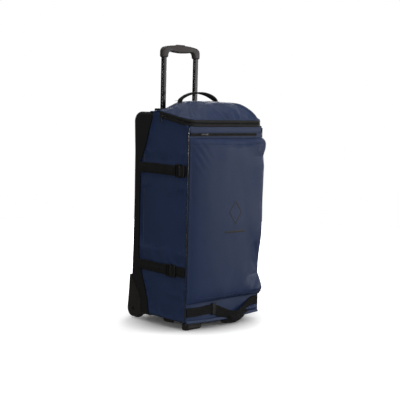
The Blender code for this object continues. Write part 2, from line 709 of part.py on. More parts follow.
def wheel(side, sign):
    half = WHEEL_WIDTH / 2
    x, y, z = sign * WHEEL_X, WHEEL_Y, WHEEL_RADIUS
    tread = WHEEL_RADIUS
    bore = AXLE_RADIUS + GAP
    turned(f"tyre_{side}", [(half - 0.001, HUB_RADIUS + GAP), (half, HUB_RADIUS + 0.004), (half - 0.004, tread - 0.0015),
                            (half - 0.008, tread), (0.008 - half, tread), (0.004 - half, tread - 0.0015),
                            (-half, HUB_RADIUS + 0.004), (0.001 - half, HUB_RADIUS + GAP)], x, y, z, 32, RUBBER)
    seat = half - 0.001 - BEARING_WIDTH
    pocket = BEARING_RADIUS + GAP
    turned(f"hub_{side}", [(half - 0.001, pocket), (half - 0.001, HUB_RADIUS), (0.001 - half, HUB_RADIUS),
                           (0.001 - half, pocket), (-seat, pocket), (-seat, bore + 0.002), (seat, bore + 0.002),
                           (seat, pocket)], x, y, z, 24, BLACK_PLASTIC)
    for place, at in (("outer", sign), ("inner", -sign)):
        middle = x + at * (seat + GAP + BEARING_WIDTH / 2)
        width = BEARING_WIDTH / 2
        turned(f"bearing_{side}_{place}", [(width, bore), (width, BEARING_RADIUS), (-width, BEARING_RADIUS),
                                           (-width, bore)], middle, y, z, 24, STEEL)

    outer, inner = sign * HOUSING_OUTER_X, sign * HOUSING_INNER_X
    housing = plate(f"wheel_housing_{side}", [housing_outline()], HOUSING_OUTER_X - HOUSING_INNER_X, "X")
    housing.location.x = (outer + inner) / 2
    bevel(housing, 0.003, 2, 60)
    room = half + 0.0020
    slot = helper(cylinder(f"wheel_slot_{side}", WHEEL_RADIUS + WHEEL_ROOM, x - room, x + room, y, z, 40))
    hole = helper(cylinder(f"axle_hole_{side}", AXLE_RADIUS + GAP, sign * 0.10, sign * 0.22, y, z, 16))
    cut(housing, slot, hole)
    keep(smooth(housing), BLACK_PLASTIC)

    shank = cylinder(f"axle_{side}", AXLE_RADIUS, sign * (HOUSING_INNER_X + 0.002), outer + sign * 0.001, y, z, 16)
    head = helper(cylinder(f"axle_head_{side}", 0.0065, outer + sign * GAP, outer + sign * 0.0025, y, z, 24))
    keep(join(shank, head), STEEL)


# ---------------------------------------------------------------- straps and buckles

def strap(level, side, sign, z, buckle_y):
    """One side strap: webbing from the back shell to a side-release buckle."""
    near = HALF + 0.0005
    far = near + BUCKLE_THICK
    socket_rear = buckle_y - PRONG_LENGTH - GAP + 0.001
    tongue_room = TONGUE_LENGTH + 0.0015
    middle = (near + far) / 2

    def across(a, b):
        return sorted((sign * a, sign * b))

    web_x = across(near, near + WEB_THICK)
    web = box(f"strap_web_{level}_{side}", (web_x[0], buckle_y + GAP, z - WEB_WIDTH / 2),
              (web_x[1], STRIP_Y, z + WEB_WIDTH / 2))
    keep(web, BLACK_WEB)

    outer_x = across(near, far)
    socket = box(f"buckle_socket_{level}_{side}", (outer_x[0], socket_rear - SOCKET_LENGTH, z - BUCKLE_HEIGHT / 2),
                 (outer_x[1], socket_rear, z + BUCKLE_HEIGHT / 2))
    bevel(socket, 0.0018)
    mouth_x = across(middle - 0.0022, middle + 0.0022)
    mouth = helper(box(f"buckle_mouth_{level}_{side}", (mouth_x[0], socket_rear - tongue_room, z - 0.0180),
                       (mouth_x[1], socket_rear + 0.01, z + 0.0180)))
    cut(socket, mouth)
    keep(socket, BLACK_PLASTIC)

    prong = box(f"buckle_prong_{level}_{side}", (outer_x[0], socket_rear + GAP, z - BUCKLE_HEIGHT / 2),
                (outer_x[1], buckle_y, z + BUCKLE_HEIGHT / 2))
    bevel(prong, 0.0018)
    tongue_x = across(middle - 0.0018, middle + 0.0018)
    tongue = helper(box(f"buckle_tongue_{level}_{side}", (tongue_x[0], socket_rear - TONGUE_LENGTH, z - 0.0175),
                        (tongue_x[1], socket_rear + 0.004, z + 0.0175)))
    join(prong, tongue)
    keep(prong, BLACK_PLASTIC)


# ---------------------------------------------------------------- feet and the lower handle

def feet(tray_bottom):
    top = tray_bottom - GAP
    for side, sign in SIDES.items():
        x = FOOT_X[side]
        foot = box(f"front_foot_{side}", (x - FOOT_SIZE[0] / 2, FOOT_Y - FOOT_SIZE[1] / 2, 0.0),
                   (x + FOOT_SIZE[0] / 2, FOOT_Y + FOOT_SIZE[1] / 2, top))
        keep(bevel(foot, 0.005, 2), BLACK_PLASTIC)
        x = sign * SKID_X
        skid = box(f"base_skid_{side}", (x - SKID_SIZE[0] / 2, SKID_Y - SKID_SIZE[1] / 2, SKID_BOTTOM_Z),
                   (x + SKID_SIZE[0] / 2, SKID_Y + SKID_SIZE[1] / 2, top))
        keep(bevel(skid, 0.004, 2), BLACK_PLASTIC)


def base_handle():
    """The carrying strap across the foot of the front, sewn down at its left, hanging at its middle."""
    half = BASE_STRAP_HEIGHT / 2
    sewn_y = FRONT_Y - GAP - BASE_STRAP_THICK / 2
    low_row, high_row = [], []
    left, right = 0.006 - HALF, HALF - 0.006
    start, lowest, end = 0.068, half + 0.0012, 0.076
    hang_from, hang_to = -0.050, 0.160
    for i in range(25):
        x = left + (right - left) * i / 24
        share = min(max((x - hang_from) / (hang_to - hang_from), 0.0), 1.0)
        droop = math.sin(math.pi * share) ** 1.5
        z = start + (end - start) * share
        z += (lowest - (start + end) / 2) * droop
        y = sewn_y - 0.012 * droop
        low_row.append((x, y, z - half))
        high_row.append((x, y, z + half))
    return keep(smooth(sheet("base_handle", [low_row, high_row], BASE_STRAP_THICK, 0.0)), BLACK_WEB)


# ---------------------------------------------------------------- the whole object

back_shell()
_, bezel_bottom = top_bezel()
for side, sign in SIDES.items():
    side_panel(side, sign)
front_wall()
front_pocket()
tray_bottom = base_tray()
liner_panel()
band = ZIP_BAND / 2 - GAP
zip_band("zip_band_body", GAP, band)
zip_band("zip_band_lid", 2 * GAP + band, band - GAP)
pocket_zip_tape()
pocket_zip_slider()
lid_zip_slider()
lid_shell()
lid_hinge_strip()
haul_handle()
trolley(bezel_bottom)
for side, sign in SIDES.items():
    wheel(side, sign)
for level, (height, buckle_y) in STRAPS.items():
    for side, sign in SIDES.items():
        strap(level, side, sign, height, buckle_y)
feet(tray_bottom)
base_handle()
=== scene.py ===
"""The looks of a wheeled travel duffel, built around its fixed frame and laid out as a Blender add-on.

Metres, +Z up, front towards -Y. Every place is worked out from the frame's own solids.
"""

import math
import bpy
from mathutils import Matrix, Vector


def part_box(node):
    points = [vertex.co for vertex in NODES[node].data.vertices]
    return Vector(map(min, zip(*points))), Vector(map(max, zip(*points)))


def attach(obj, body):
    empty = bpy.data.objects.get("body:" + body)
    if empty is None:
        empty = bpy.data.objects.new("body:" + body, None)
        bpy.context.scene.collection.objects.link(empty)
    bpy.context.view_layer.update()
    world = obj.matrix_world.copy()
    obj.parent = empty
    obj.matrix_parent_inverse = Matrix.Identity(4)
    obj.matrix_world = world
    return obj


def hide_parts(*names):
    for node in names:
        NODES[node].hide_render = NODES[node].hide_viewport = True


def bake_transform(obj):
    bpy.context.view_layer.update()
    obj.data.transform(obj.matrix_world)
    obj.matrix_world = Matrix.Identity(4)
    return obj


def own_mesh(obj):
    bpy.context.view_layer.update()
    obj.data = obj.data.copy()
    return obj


bl_info = {
    "name": "Wheeled Duffel",
    "version": (1, 0, 0),
    "blender": (4, 5, 0),
    "location": "3D View > Sidebar > Duffel",
    "description": "Fabric, shell, zips, straps, handles and wheels of a wheeled travel duffel",
    "category": "Object",
}

import bmesh
import bpy
import numpy as np
from mathutils import Matrix, Vector, noise

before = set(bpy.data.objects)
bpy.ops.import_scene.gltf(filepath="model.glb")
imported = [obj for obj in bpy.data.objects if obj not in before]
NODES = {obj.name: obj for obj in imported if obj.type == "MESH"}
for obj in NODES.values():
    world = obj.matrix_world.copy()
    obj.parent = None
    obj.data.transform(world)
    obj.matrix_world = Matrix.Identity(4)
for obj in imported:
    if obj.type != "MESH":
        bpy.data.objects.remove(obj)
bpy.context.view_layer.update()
SIDES = (("left", -1.0), ("right", 1.0))


def low(node):
    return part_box(node)[0]


def high(node):
    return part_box(node)[1]


def middle(node):
    return (low(node) + high(node)) / 2


# Lines that pieces share, taken from the frame.
HALF = high("side_panel_right").x
FRONT = low("front_wall").y
BASE = low("back_shell").z
TOP = high("back_shell").z
REAR = high("back_shell").y
ZIP_FRONT = low("zip_band_body").z
ZIP_END = high("zip_band_lid").y
BAND = 0.026
ZIP_SLOPE = (high("zip_band_lid").z - BAND - ZIP_FRONT) / (ZIP_END - FRONT)
LID_REAR = high("lid_shell").y
CREST_Z = high("lid_shell").z
CREST_Y = middle("haul_handle").y
LID_CORNER = 0.028
TUBE_Y = middle("inner_tube_left").y
TUBE_X = middle("inner_tube_right").x
WHEEL_Y = middle("tyre_left").y
WHEEL_Z = middle("tyre_left").z
STRAPS = {level: middle(f"strap_web_{level}_left").z for level in ("upper", "lower")}
WEB_HALF = (high("strap_web_upper_left").z - low("strap_web_upper_left").z) / 2
# How far apart a side strap's pairs of cross stitches stand, and the two rows of a pair.
LADDER_PITCH = 0.0245
LADDER_GAP = 0.003


def smoothstep(a, b, x):
    t = min(max((x - a) / (b - a), 0.0), 1.0)
    return t * t * (3 - 2 * t)


def between(table, z):
    """The value at z on straight lines between (z, value) pairs."""
    for (a, first), (b, second) in zip(table, table[1:]):
        if z <= b:
            return first + (second - first) * max(z - a, 0.0) / (b - a)
    return table[-1][1]


# How far behind the front the shell's side flange starts, and where the back lies, by height.
SHELL_EDGE = [(0.040, 0.204), (0.085, 0.212), (0.120, 0.222), (0.160, 0.238), (0.200, 0.252), (0.250, 0.264),
              (0.600, 0.264), (0.670, 0.234), (0.723, 0.218), (0.774, 0.199)]
BACK = [(0.170, 0.309), (0.270, 0.306), (0.450, 0.303), (0.640, 0.304), (0.753, 0.309)]


def edge_y(z):
    return FRONT + between(SHELL_EDGE, z)


def zip_line(y):
    return ZIP_FRONT + ZIP_SLOPE * (min(y, ZIP_END) - FRONT)


def lid_rim(y):
    """The lid's lower edge: on the zip, then down to the shell's top behind the zip's ends."""
    return zip_line(y) + BAND - 0.0042 * smoothstep(ZIP_END, ZIP_END + 0.036, y)


def lid_half_width(y):
    """Half the lid's width: rounded at the front corners, and a little drawn in at the rear ones."""
    from_front = y - FRONT
    drawn_in = 0.030 * smoothstep(LID_REAR - 0.034, LID_REAR + 0.004, y) ** 2
    if from_front >= LID_CORNER:
        return HALF - drawn_in
    return HALF - LID_CORNER + math.sqrt(max(LID_CORNER**2 - (LID_CORNER - from_front)**2, 0.0))


def lid_height(x, y, drop=0.0):
    """Height of the lid's outside at (x, y), lower by drop at its crest: square-shouldered but softer on the left."""
    right = smoothstep(-0.10, 0.06, x)
    if y < CREST_Y:
        along = (max(CREST_Y - y, 0.0) / (CREST_Y - FRONT)) ** (2.8 + 2.4 * right)
    else:
        along = 0.72 * ((y - CREST_Y) / (LID_REAR - CREST_Y)) ** 2
    across = min(abs(x) / lid_half_width(y), 1.0) ** (3.0 + 5.0 * right)
    slope = 0.006 * smoothstep(0.02, 0.16, x) + 0.004 * smoothstep(-0.02, -0.12, x)
    low_corner = 1 - 0.85 * smoothstep(-0.03, 0.045, y) * smoothstep(-0.07, -0.165, x)
    return lid_rim(y) + (CREST_Z - drop - slope - lid_rim(y)) * (1 - across) * (1 - along) * low_corner


# ---------------------------------------------------------------- materials

class Tree:
    """A short way to add nodes to a tree: inputs are values or sockets, and settings are the node's own."""

    def __init__(self, tree):
        self.tree = tree

    def add(self, kind, inputs=None, **settings):
        node = self.tree.nodes.new(kind)
        for key, value in settings.items():
            setattr(node, key, value)
        for key, value in (inputs or {}).items():
            if isinstance(value, bpy.types.NodeSocket):
                self.tree.links.new(value, node.inputs[key])
            else:
                node.inputs[key].default_value = value
        return node

    def sum(self, a, b, operation="ADD"):
        node = self.add("ShaderNodeMath", {0: a, 1: b}, operation=operation)
        return node.outputs[0]


def start_material(name, roughness, metallic=0.0, **sockets):
    """(material, tree, shader, object coordinates)."""
    made = bpy.data.materials.new(name)
    made.use_nodes = True
    tree = Tree(made.node_tree)
    shader = made.node_tree.nodes["Principled BSDF"]
    shader.inputs["Roughness"].default_value = roughness
    shader.inputs["Metallic"].default_value = metallic
    for key, value in sockets.items():
        shader.inputs[key.replace("_", " ")].default_value = value
    where = tree.add("ShaderNodeTexCoord")
    return made, tree, shader, where


def tinted(tree, shader, colour, other, factor):
    """Base colour that runs between two colours by a factor."""
    mix = tree.add("ShaderNodeMix", {"Factor": factor}, data_type="RGBA")
    mix.inputs[6].default_value = (*colour, 1.0)
    mix.inputs[7].default_value = (*other, 1.0)
    tree.tree.links.new(mix.outputs[2], shader.inputs["Base Color"])


def bumped(tree, shader, height, distance, strength=1.0):
    bump = tree.add("ShaderNodeBump", {"Height": height, "Distance": distance, "Strength": strength})
    tree.tree.links.new(bump.outputs["Normal"], shader.inputs["Normal"])


def ranged(tree, value, a, b, c, d):
    node = tree.add("ShaderNodeMapRange", {"Value": value, "From Min": a, "From Max": b, "To Min": c, "To Max": d})
    return node.outputs["Result"]


def coated_cloth(name, colour, dusty, roughness, coat, pitch, rise):
    """Coated fabric: a fine plain weave under a satin film, with faint cloudiness."""
    made, tree, shader, where = start_material(name, roughness, Coat_Weight=coat, Coat_Roughness=0.50,
                                               Specular_IOR_Level=0.3)
    at = where.outputs["Object"]
    scale = 2 * math.pi / (20 * pitch)
    waves = [tree.add("ShaderNodeTexWave", {"Vector": at, "Scale": scale, "Distortion": 0.0},
                      bands_direction=axis).outputs["Fac"] for axis in "XYZ"]
    weave = tree.sum(tree.sum(waves[0], waves[1]), waves[2])
    cloud = tree.add("ShaderNodeTexNoise", {"Vector": at, "Scale": 9.0, "Detail": 4.0, "Roughness": 0.6})
    fine = tree.add("ShaderNodeTexNoise", {"Vector": at, "Scale": 420.0, "Detail": 2.0})
    tinted(tree, shader, colour, dusty, ranged(tree, cloud.outputs["Fac"], 0.35, 0.75, 0.0, 1.0))
    rough = ranged(tree, cloud.outputs["Fac"], 0.3, 0.7, roughness - 0.05, roughness + 0.06)
    tree.tree.links.new(rough, shader.inputs["Roughness"])
    height = tree.sum(weave, tree.sum(fine.outputs["Fac"], 0.8, "MULTIPLY"))
    bumped(tree, shader, height, rise)
    return made


def webbing(name, colour, worn, pitch=0.0016):
    """Woven strap: slanting ribs that follow the strap's own UV map, in metres."""
    made, tree, shader, where = start_material(name, 0.72, Sheen_Weight=0.03, Sheen_Roughness=0.5,
                                               Specular_IOR_Level=0.22)
    split = tree.add("ShaderNodeSeparateXYZ", {0: where.outputs["UV"]})
    across = tree.sum(split.outputs["Y"], 1.0 / pitch, "MULTIPLY")
    chevron = tree.add("ShaderNodeMath", {0: across, 1: 4.0}, operation="PINGPONG").outputs[0]
    along = tree.sum(tree.sum(split.outputs["X"], 1.0 / pitch, "MULTIPLY"), chevron)
    ribs = tree.add("ShaderNodeMath", {0: tree.sum(along, math.tau, "MULTIPLY")}, operation="SINE").outputs[0]
    noisy = tree.add("ShaderNodeTexNoise", {"Vector": where.outputs["Object"], "Scale": 120.0, "Detail": 3.0})
    tinted(tree, shader, colour, worn, ranged(tree, noisy.outputs["Fac"], 0.4, 0.75, 0.0, 1.0))
    bumped(tree, shader, tree.sum(ribs, noisy.outputs["Fac"]), 0.00022)
    return made


def moulded(name, colour, worn, roughness, grain=900.0, rise=0.00006, **sockets):
    """Moulded plastic: a fine spark-eroded grain, scuffed lighter in patches."""
    made, tree, shader, where = start_material(name, roughness, **sockets)
    at = where.outputs["Object"]
    fine = tree.add("ShaderNodeTexNoise", {"Vector": at, "Scale": grain, "Detail": 2.0})
    scuffs = tree.add("ShaderNodeTexNoise", {"Vector": at, "Scale": 22.0, "Detail": 5.0, "Roughness": 0.65})
    tinted(tree, shader, colour, worn, ranged(tree, scuffs.outputs["Fac"], 0.45, 0.75, 0.0, 1.0))
    rough = ranged(tree, scuffs.outputs["Fac"], 0.3, 0.7, roughness - 0.06, roughness + 0.08)
    tree.tree.links.new(rough, shader.inputs["Roughness"])
    bumped(tree, shader, fine.outputs["Fac"], rise)
    return made


def brushed(name, colour, darker, roughness, metallic=1.0, stretch=(900.0, 900.0, 12.0), uneven=1.0, **sockets):
    """Drawn or turned metal: fine lines along one axis."""
    made, tree, shader, where = start_material(name, roughness, metallic, **sockets)
    mapped = tree.add("ShaderNodeMapping", {"Vector": where.outputs["Object"], "Scale": stretch})
    lines = tree.add("ShaderNodeTexNoise", {"Vector": mapped.outputs[0], "Scale": 1.0, "Detail": 3.0})
    tinted(tree, shader, colour, darker, ranged(tree, lines.outputs["Fac"], 0.35, 0.7, 0.0, 1.0))
    rough = ranged(tree, lines.outputs["Fac"], 0.3, 0.7, roughness - 0.04 * uneven, roughness + 0.07 * uneven)
    tree.tree.links.new(rough, shader.inputs["Roughness"])
    return made


FINISH = {}


def make_finishes(settings):
    navy = tuple(settings.navy)
    FINISH.update({
        "navy": coated_cloth("navy_coated_fabric", navy, tuple(c * 1.18 for c in navy), settings.fabric_roughness,
                             0.10, settings.weave_pitch, 0.00005),
        "lining": coated_cloth("lining_cloth", (0.075, 0.077, 0.082), (0.095, 0.096, 0.100), 0.8, 0.0, 0.0009,
                               0.00008),
        "band": coated_cloth("black_zip_tape", (0.0085, 0.0080, 0.0078), (0.014, 0.0125, 0.012), 0.55, 0.0, 0.0011,
                             0.00012),
        "web": webbing("black_webbing", tuple(settings.webbing), tuple(c * 1.7 for c in settings.webbing)),
        "piping": webbing("black_piping_cord", (0.0050, 0.0050, 0.0055), (0.009, 0.009, 0.0095), 0.0008),
        "thread": moulded("black_sewing_thread", (0.012, 0.012, 0.013), (0.020, 0.020, 0.022), 0.6, 2500.0, 0.00003),
        "navy_thread": moulded("navy_sewing_thread", tuple(c * 1.9 for c in navy), tuple(c * 2.4 for c in navy), 0.55,
                               2500.0, 0.00003),
        "shell": moulded("black_shell_plastic", tuple(settings.shell), tuple(c * 1.5 for c in settings.shell), 0.46,
                         650.0, 0.00012, Specular_IOR_Level=0.35),
        "fittings": moulded("black_fittings_plastic", (0.0050, 0.0048, 0.0046), (0.009, 0.0086, 0.0082), 0.36, 1200.0,
                            0.00004, Specular_IOR_Level=0.4),
        "housing": moulded("dark_grey_housing_plastic", (0.0170, 0.0140, 0.0120), (0.024, 0.020, 0.0175), 0.42, 800.0,
                           0.00008, Specular_IOR_Level=0.35),
        "grip": moulded("soft_grip_plastic", tuple(settings.grip), tuple(c * 1.35 for c in settings.grip), 0.5,
                        1100.0,
                        0.00007),
        "grip_panel": moulded("grip_inlay_rubber", tuple(c * 1.5 for c in settings.grip),
                              tuple(c * 1.9 for c in settings.grip), 0.62, 700.0, 0.00012),
        "tube": brushed("black_anodised_tube", (0.0035, 0.0030, 0.0028), (0.0050, 0.0046, 0.0043), 0.17, 0.0,
                        uneven=0.1, Specular_IOR_Level=0.30),
        "aluminium": brushed("drawn_aluminium", (0.30, 0.30, 0.31), (0.22, 0.22, 0.23), 0.32),
        "steel": brushed("turned_steel", (0.060, 0.058, 0.056), (0.040, 0.039, 0.038), 0.34, 1.0,
                         (60.0, 900.0, 900.0)),
        "tyre": moulded("black_tyre_rubber", (0.0045, 0.0042, 0.0040), (0.009, 0.0085, 0.008), 0.6, 500.0, 0.00015),
        "glossy": moulded("glossy_black_piping", (0.0060, 0.0060, 0.0065), (0.010, 0.010, 0.0105), 0.22, 300.0,
                          0.00001,
                          Specular_IOR_Level=0.9),
        "emblem": moulded("tonal_print", (0.0200, 0.0185, 0.0190), (0.0270, 0.0250, 0.0255),
                          0.6, 1500.0, 0.00003),
    })


# ---------------------------------------------------------------- building tools

def new_object(name, mesh, finish):
    obj = bpy.data.objects.new(name, mesh)
    bpy.context.scene.collection.objects.link(obj)
    mesh.materials.clear()
    mesh.materials.append(FINISH[finish])
    return obj


def smooth(obj, angle=40.0):
    obj.data.shade_smooth()
    obj.data.set_sharp_from_angle(angle=math.radians(angle))
    return obj


def place(obj, body, slot, *nodes):
    """Gives a finished piece its body, and hides the frame solids that it stands for. The slot is not used."""
    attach(obj, body)
    if nodes:
        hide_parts(*nodes)
    return obj


def grid_piece(name, rows, finish):
    """An open surface through rows of points, with a UV map in metres."""
    mesh = bpy.data.meshes.new(name)
    bm = bmesh.new()
    uv = bm.loops.layers.uv.new("UVMap")
    grid = [[bm.verts.new(point) for point in row] for row in rows]
    along = [[0.0] for _ in rows]
    for row, distances in zip(grid, along):
        for first, second in zip(row, row[1:]):
            distances.append(distances[-1] + (second.co - first.co).length)
    across = [0.0]
    for first, second in zip(grid, grid[1:]):
        across.append(across[-1] + (second[0].co - first[0].co).length)
    for j in range(len(grid) - 1):
        for i in range(len(grid[j]) - 1):
            corners = ((j, i), (j, i + 1), (j + 1, i + 1), (j + 1, i))
            face = bm.faces.new([grid[b][a] for b, a in corners])
            for loop, (b, a) in zip(face.loops, corners):
                loop[uv].uv = (along[b][a], across[b])
    bm.to_mesh(mesh)
    bm.free()
    return new_object(name, mesh, finish)


def thicken(obj, wall, offset=-1.0, soften=0):
    """Gives an open surface its wall, and rounds it with a subdivision if asked."""
    solid = obj.modifiers.new("wall", "SOLIDIFY")
    solid.thickness = wall
    solid.offset = offset
    if soften:
        soft = obj.modifiers.new("rounding", "SUBSURF")
        soft.levels = soft.render_levels = soften
    obj.data.shade_smooth()
    return settle(obj)


def settle(obj):
    """Applies the modifiers, so that the mesh itself is the shape."""
    bpy.context.view_layer.update()
    graph = bpy.context.evaluated_depsgraph_get()
    mesh = bpy.data.meshes.new_from_object(obj.evaluated_get(graph))
    obj.modifiers.clear()
    mesh.transform(obj.matrix_world)
    obj.matrix_world = Matrix.Identity(4)
    obj.data = mesh
    return obj


def puff(obj, pins, pressure, slack, limit, frames=20, shares=None):
    """Blows a sewn-down cloth out from its edge, and keeps each point's share of its way, up to a limit."""
    start = np.array([v.co for v in obj.data.vertices])
    group = obj.vertex_groups.new(name="sewn")
    group.add(pins, 1.0, "REPLACE")
    cloth = obj.modifiers.new("puff", "CLOTH")
    cloth.settings.vertex_group_mass = "sewn"
    cloth.settings.use_pressure = True
    cloth.settings.uniform_pressure_force = pressure
    cloth.settings.shrink_min = -slack
    cloth.settings.effector_weights.gravity = 0.0
    cloth.settings.quality = 6
    cloth.settings.mass = 0.2
    cloth.settings.tension_stiffness = cloth.settings.compression_stiffness = 25.0
    cloth.settings.bending_stiffness = 0.4
    for number in range(1, frames + 1):
        bpy.context.scene.frame_set(number)
    graph = bpy.context.evaluated_depsgraph_get()
    mesh = bpy.data.meshes.new_from_object(obj.evaluated_get(graph))
    moved = np.array([v.co for v in mesh.vertices]) - start
    far = np.linalg.norm(moved, axis=1, keepdims=True)
    moved *= np.minimum(1.0, limit / np.maximum(far, 1e-9))
    if shares:
        moved *= np.array(shares)[:, None]
    mesh.vertices.foreach_set("co", (start + moved).astype(np.float32).ravel())
    obj.modifiers.clear()
    obj.vertex_groups.clear()
    obj.data = mesh
    bpy.context.scene.frame_set(1)
    return obj


def rounded_section(width, thick, corner, steps=4):
    """A rounded rectangle as (across, out) points, anticlockwise."""
    a, b = width / 2 - corner, thick / 2 - corner
    points = []
    for quarter, (x, y) in enumerate(((a, b), (-a, b), (-a, -b), (a, -b))):
        for i in range(steps + 1):
            turn = math.pi / 2 * (quarter + i / steps)
            points.append((x + corner * math.cos(turn), y + corner * math.sin(turn)))
    return points


def round_section(radius, steps=12):
    return [(radius * math.cos(math.tau * i / steps), radius * math.sin(math.tau * i / steps)) for i in range(steps)]


def sweep(name, path, section, out, finish, widths=None, closed=False):
    """A closed section carried along a path. out is the section's outward direction, one for all or one each."""
    path = [Vector(p) for p in path]
    count = len(path)
    outs = [Vector(out)] * count if isinstance(out[0], (int, float)) else [Vector(o) for o in out]
    mesh = bpy.data.meshes.new(name)
    bm = bmesh.new()
    uv = bm.loops.layers.uv.new("UVMap")
    rings, travelled = [], [0.0]
    for i, point in enumerate(path):
        before = path[i - 1] if i or closed else point
        after = path[(i + 1) % count] if i < count - 1 or closed else point
        tangent = (after - before).normalized()
        across = tangent.cross(outs[i]).normalized()
        up = across.cross(tangent).normalized()
        grow = widths[i] if widths else (1.0, 1.0)
        rings.append([bm.verts.new(point + across * a * grow[0] + up * b * grow[1]) for a, b in section])
        if i:
            travelled.append(travelled[-1] + (point - path[i - 1]).length)
    size = len(section)
    pairs = [(i, i + 1) for i in range(count - 1)] + ([(count - 1, 0)] if closed else [])
    for i, j in pairs:
        for k in range(size):
            m = (k + 1) % size
            face = bm.faces.new((rings[i][k], rings[j][k], rings[j][m], rings[i][m]))
            for loop, (u, v) in zip(face.loops, ((i, k), (j, k), (j, m), (i, m))):
                loop[uv].uv = (travelled[u], section[v][0])
    if not closed:
        bm.faces.new(rings[0])
        bm.faces.new(list(reversed(rings[-1])))
    bmesh.ops.recalc_face_normals(bm, faces=bm.faces)
    if bm.calc_volume(signed=True) < 0:
        bmesh.ops.reverse_faces(bm, faces=bm.faces)
    bm.to_mesh(mesh)
    bm.free()
    return smooth(new_object(name, mesh, finish), 50)


def smooth_path(points, steps):
    """Points on a smooth curve through the given ones."""
    points = [Vector(p) for p in points]
    result = []
    for i in range(len(points) - 1):
        p0, p1 = points[max(i - 1, 0)], points[i]
        p2, p3 = points[i + 1], points[min(i + 2, len(points) - 1)]
        for step in range(steps):
            t = step / steps
            result.append(0.5 * (2 * p1 + (p2 - p0) * t + (2 * p0 - 5 * p1 + 4 * p2 - p3) * t**2
                                 + (3 * p1 - p0 - 3 * p2 + p3) * t**3))
    return result + [points[-1]]


def solid_from(name, finish, build, bevel=0.0, segments=3, angle=35.0):
    """A mesh filled by build(bm), with its edges rounded."""
    mesh = bpy.data.meshes.new(name)
    bm = bmesh.new()
    build(bm)
    bmesh.ops.remove_doubles(bm, verts=bm.verts, dist=0.00001)
    bmesh.ops.recalc_face_normals(bm, faces=bm.faces)
    if bm.calc_volume(signed=True) < 0:
        bmesh.ops.reverse_faces(bm, faces=bm.faces)
    bm.to_mesh(mesh)
    bm.free()
    obj = new_object(name, mesh, finish)
    if bevel:
        rounded = obj.modifiers.new("rounding", "BEVEL")
        rounded.width = bevel
        rounded.segments = segments
        rounded.limit_method = "ANGLE"
        rounded.angle_limit = math.radians(angle)
        rounded.harden_normals = False
    return obj


def add_slab(bm, outline, start, end, axis):
    """Adds a flat piece to bm: a closed outline carried from start to end along an axis."""
    put = {"X": lambda a, b, t: (t, a, b), "Y": lambda a, b, t: (a, t, b), "Z": lambda a, b, t: (a, b, t)}[axis]
    near = [bm.verts.new(put(a, b, start)) for a, b in outline]
    far = [bm.verts.new(put(a, b, end)) for a, b in outline]
    bm.faces.new(near)
    bm.faces.new(list(reversed(far)))
    for i in range(len(near)):
        j = (i + 1) % len(near)
        bm.faces.new((near[j], near[i], far[i], far[j]))


def slab(name, finish, outline, start, end, axis, bevel=0.0, segments=3, angle=35.0):
    return solid_from(name, finish, lambda bm: add_slab(bm, outline, start, end, axis), bevel, segments, angle)


def block(name, finish, corner, opposite, bevel=0.0, segments=3):
    """A box between two corners."""
    a, b = Vector(corner), Vector(opposite)
    outline = [(a.x, a.y), (b.x, a.y), (b.x, b.y), (a.x, b.y)]
    return slab(name, finish, outline, a.z, b.z, "Z", bevel, segments)


def cylinder_x(name, finish, radius, x_from, x_to, y, z, steps=48, bevel=0.0):
    outline = [(y + radius * math.cos(math.tau * i / steps), z + radius * math.sin(math.tau * i / steps))
               for i in range(steps)]
    return slab(name, finish, outline, x_from, x_to, "X", bevel, 2, 60)


def carve(obj, *tools):
    """Cuts the tools out of the object and removes them."""
    for tool in tools:
        settle(tool)
        boolean = obj.modifiers.new("cut", "BOOLEAN")
        boolean.object = tool
        boolean.operation = "DIFFERENCE"
    settle(obj)
    for tool in tools:
        bpy.data.objects.remove(tool)
    return obj


def merge(first, *others):
    """Joins finished meshes into one piece."""
    for obj in (first, *others):
        settle(obj)
    with bpy.context.temp_override(active_object=first, selected_editable_objects=[first, *others]):
        bpy.ops.object.join()
    return first


def turned(name, finish, profile, x, y, z, steps=72):
    """A closed ring about an axis along X; profile is (distance along X, radius) points."""
    def build(bm):
        rings = []
        for i in range(steps):
            turn = math.tau * i / steps
            rings.append([bm.verts.new((x + along, y + radius * math.cos(turn), z + radius * math.sin(turn)))
                          for along, radius in profile])
        for i in range(steps):
            ring, other = rings[i], rings[(i + 1) % steps]
            for k in range(len(profile)):
                m = (k + 1) % len(profile)
                bm.faces.new((ring[k], ring[m], other[m], other[k]))

    return solid_from(name, finish, build)


# ---------------------------------------------------------------- repeats by geometry nodes

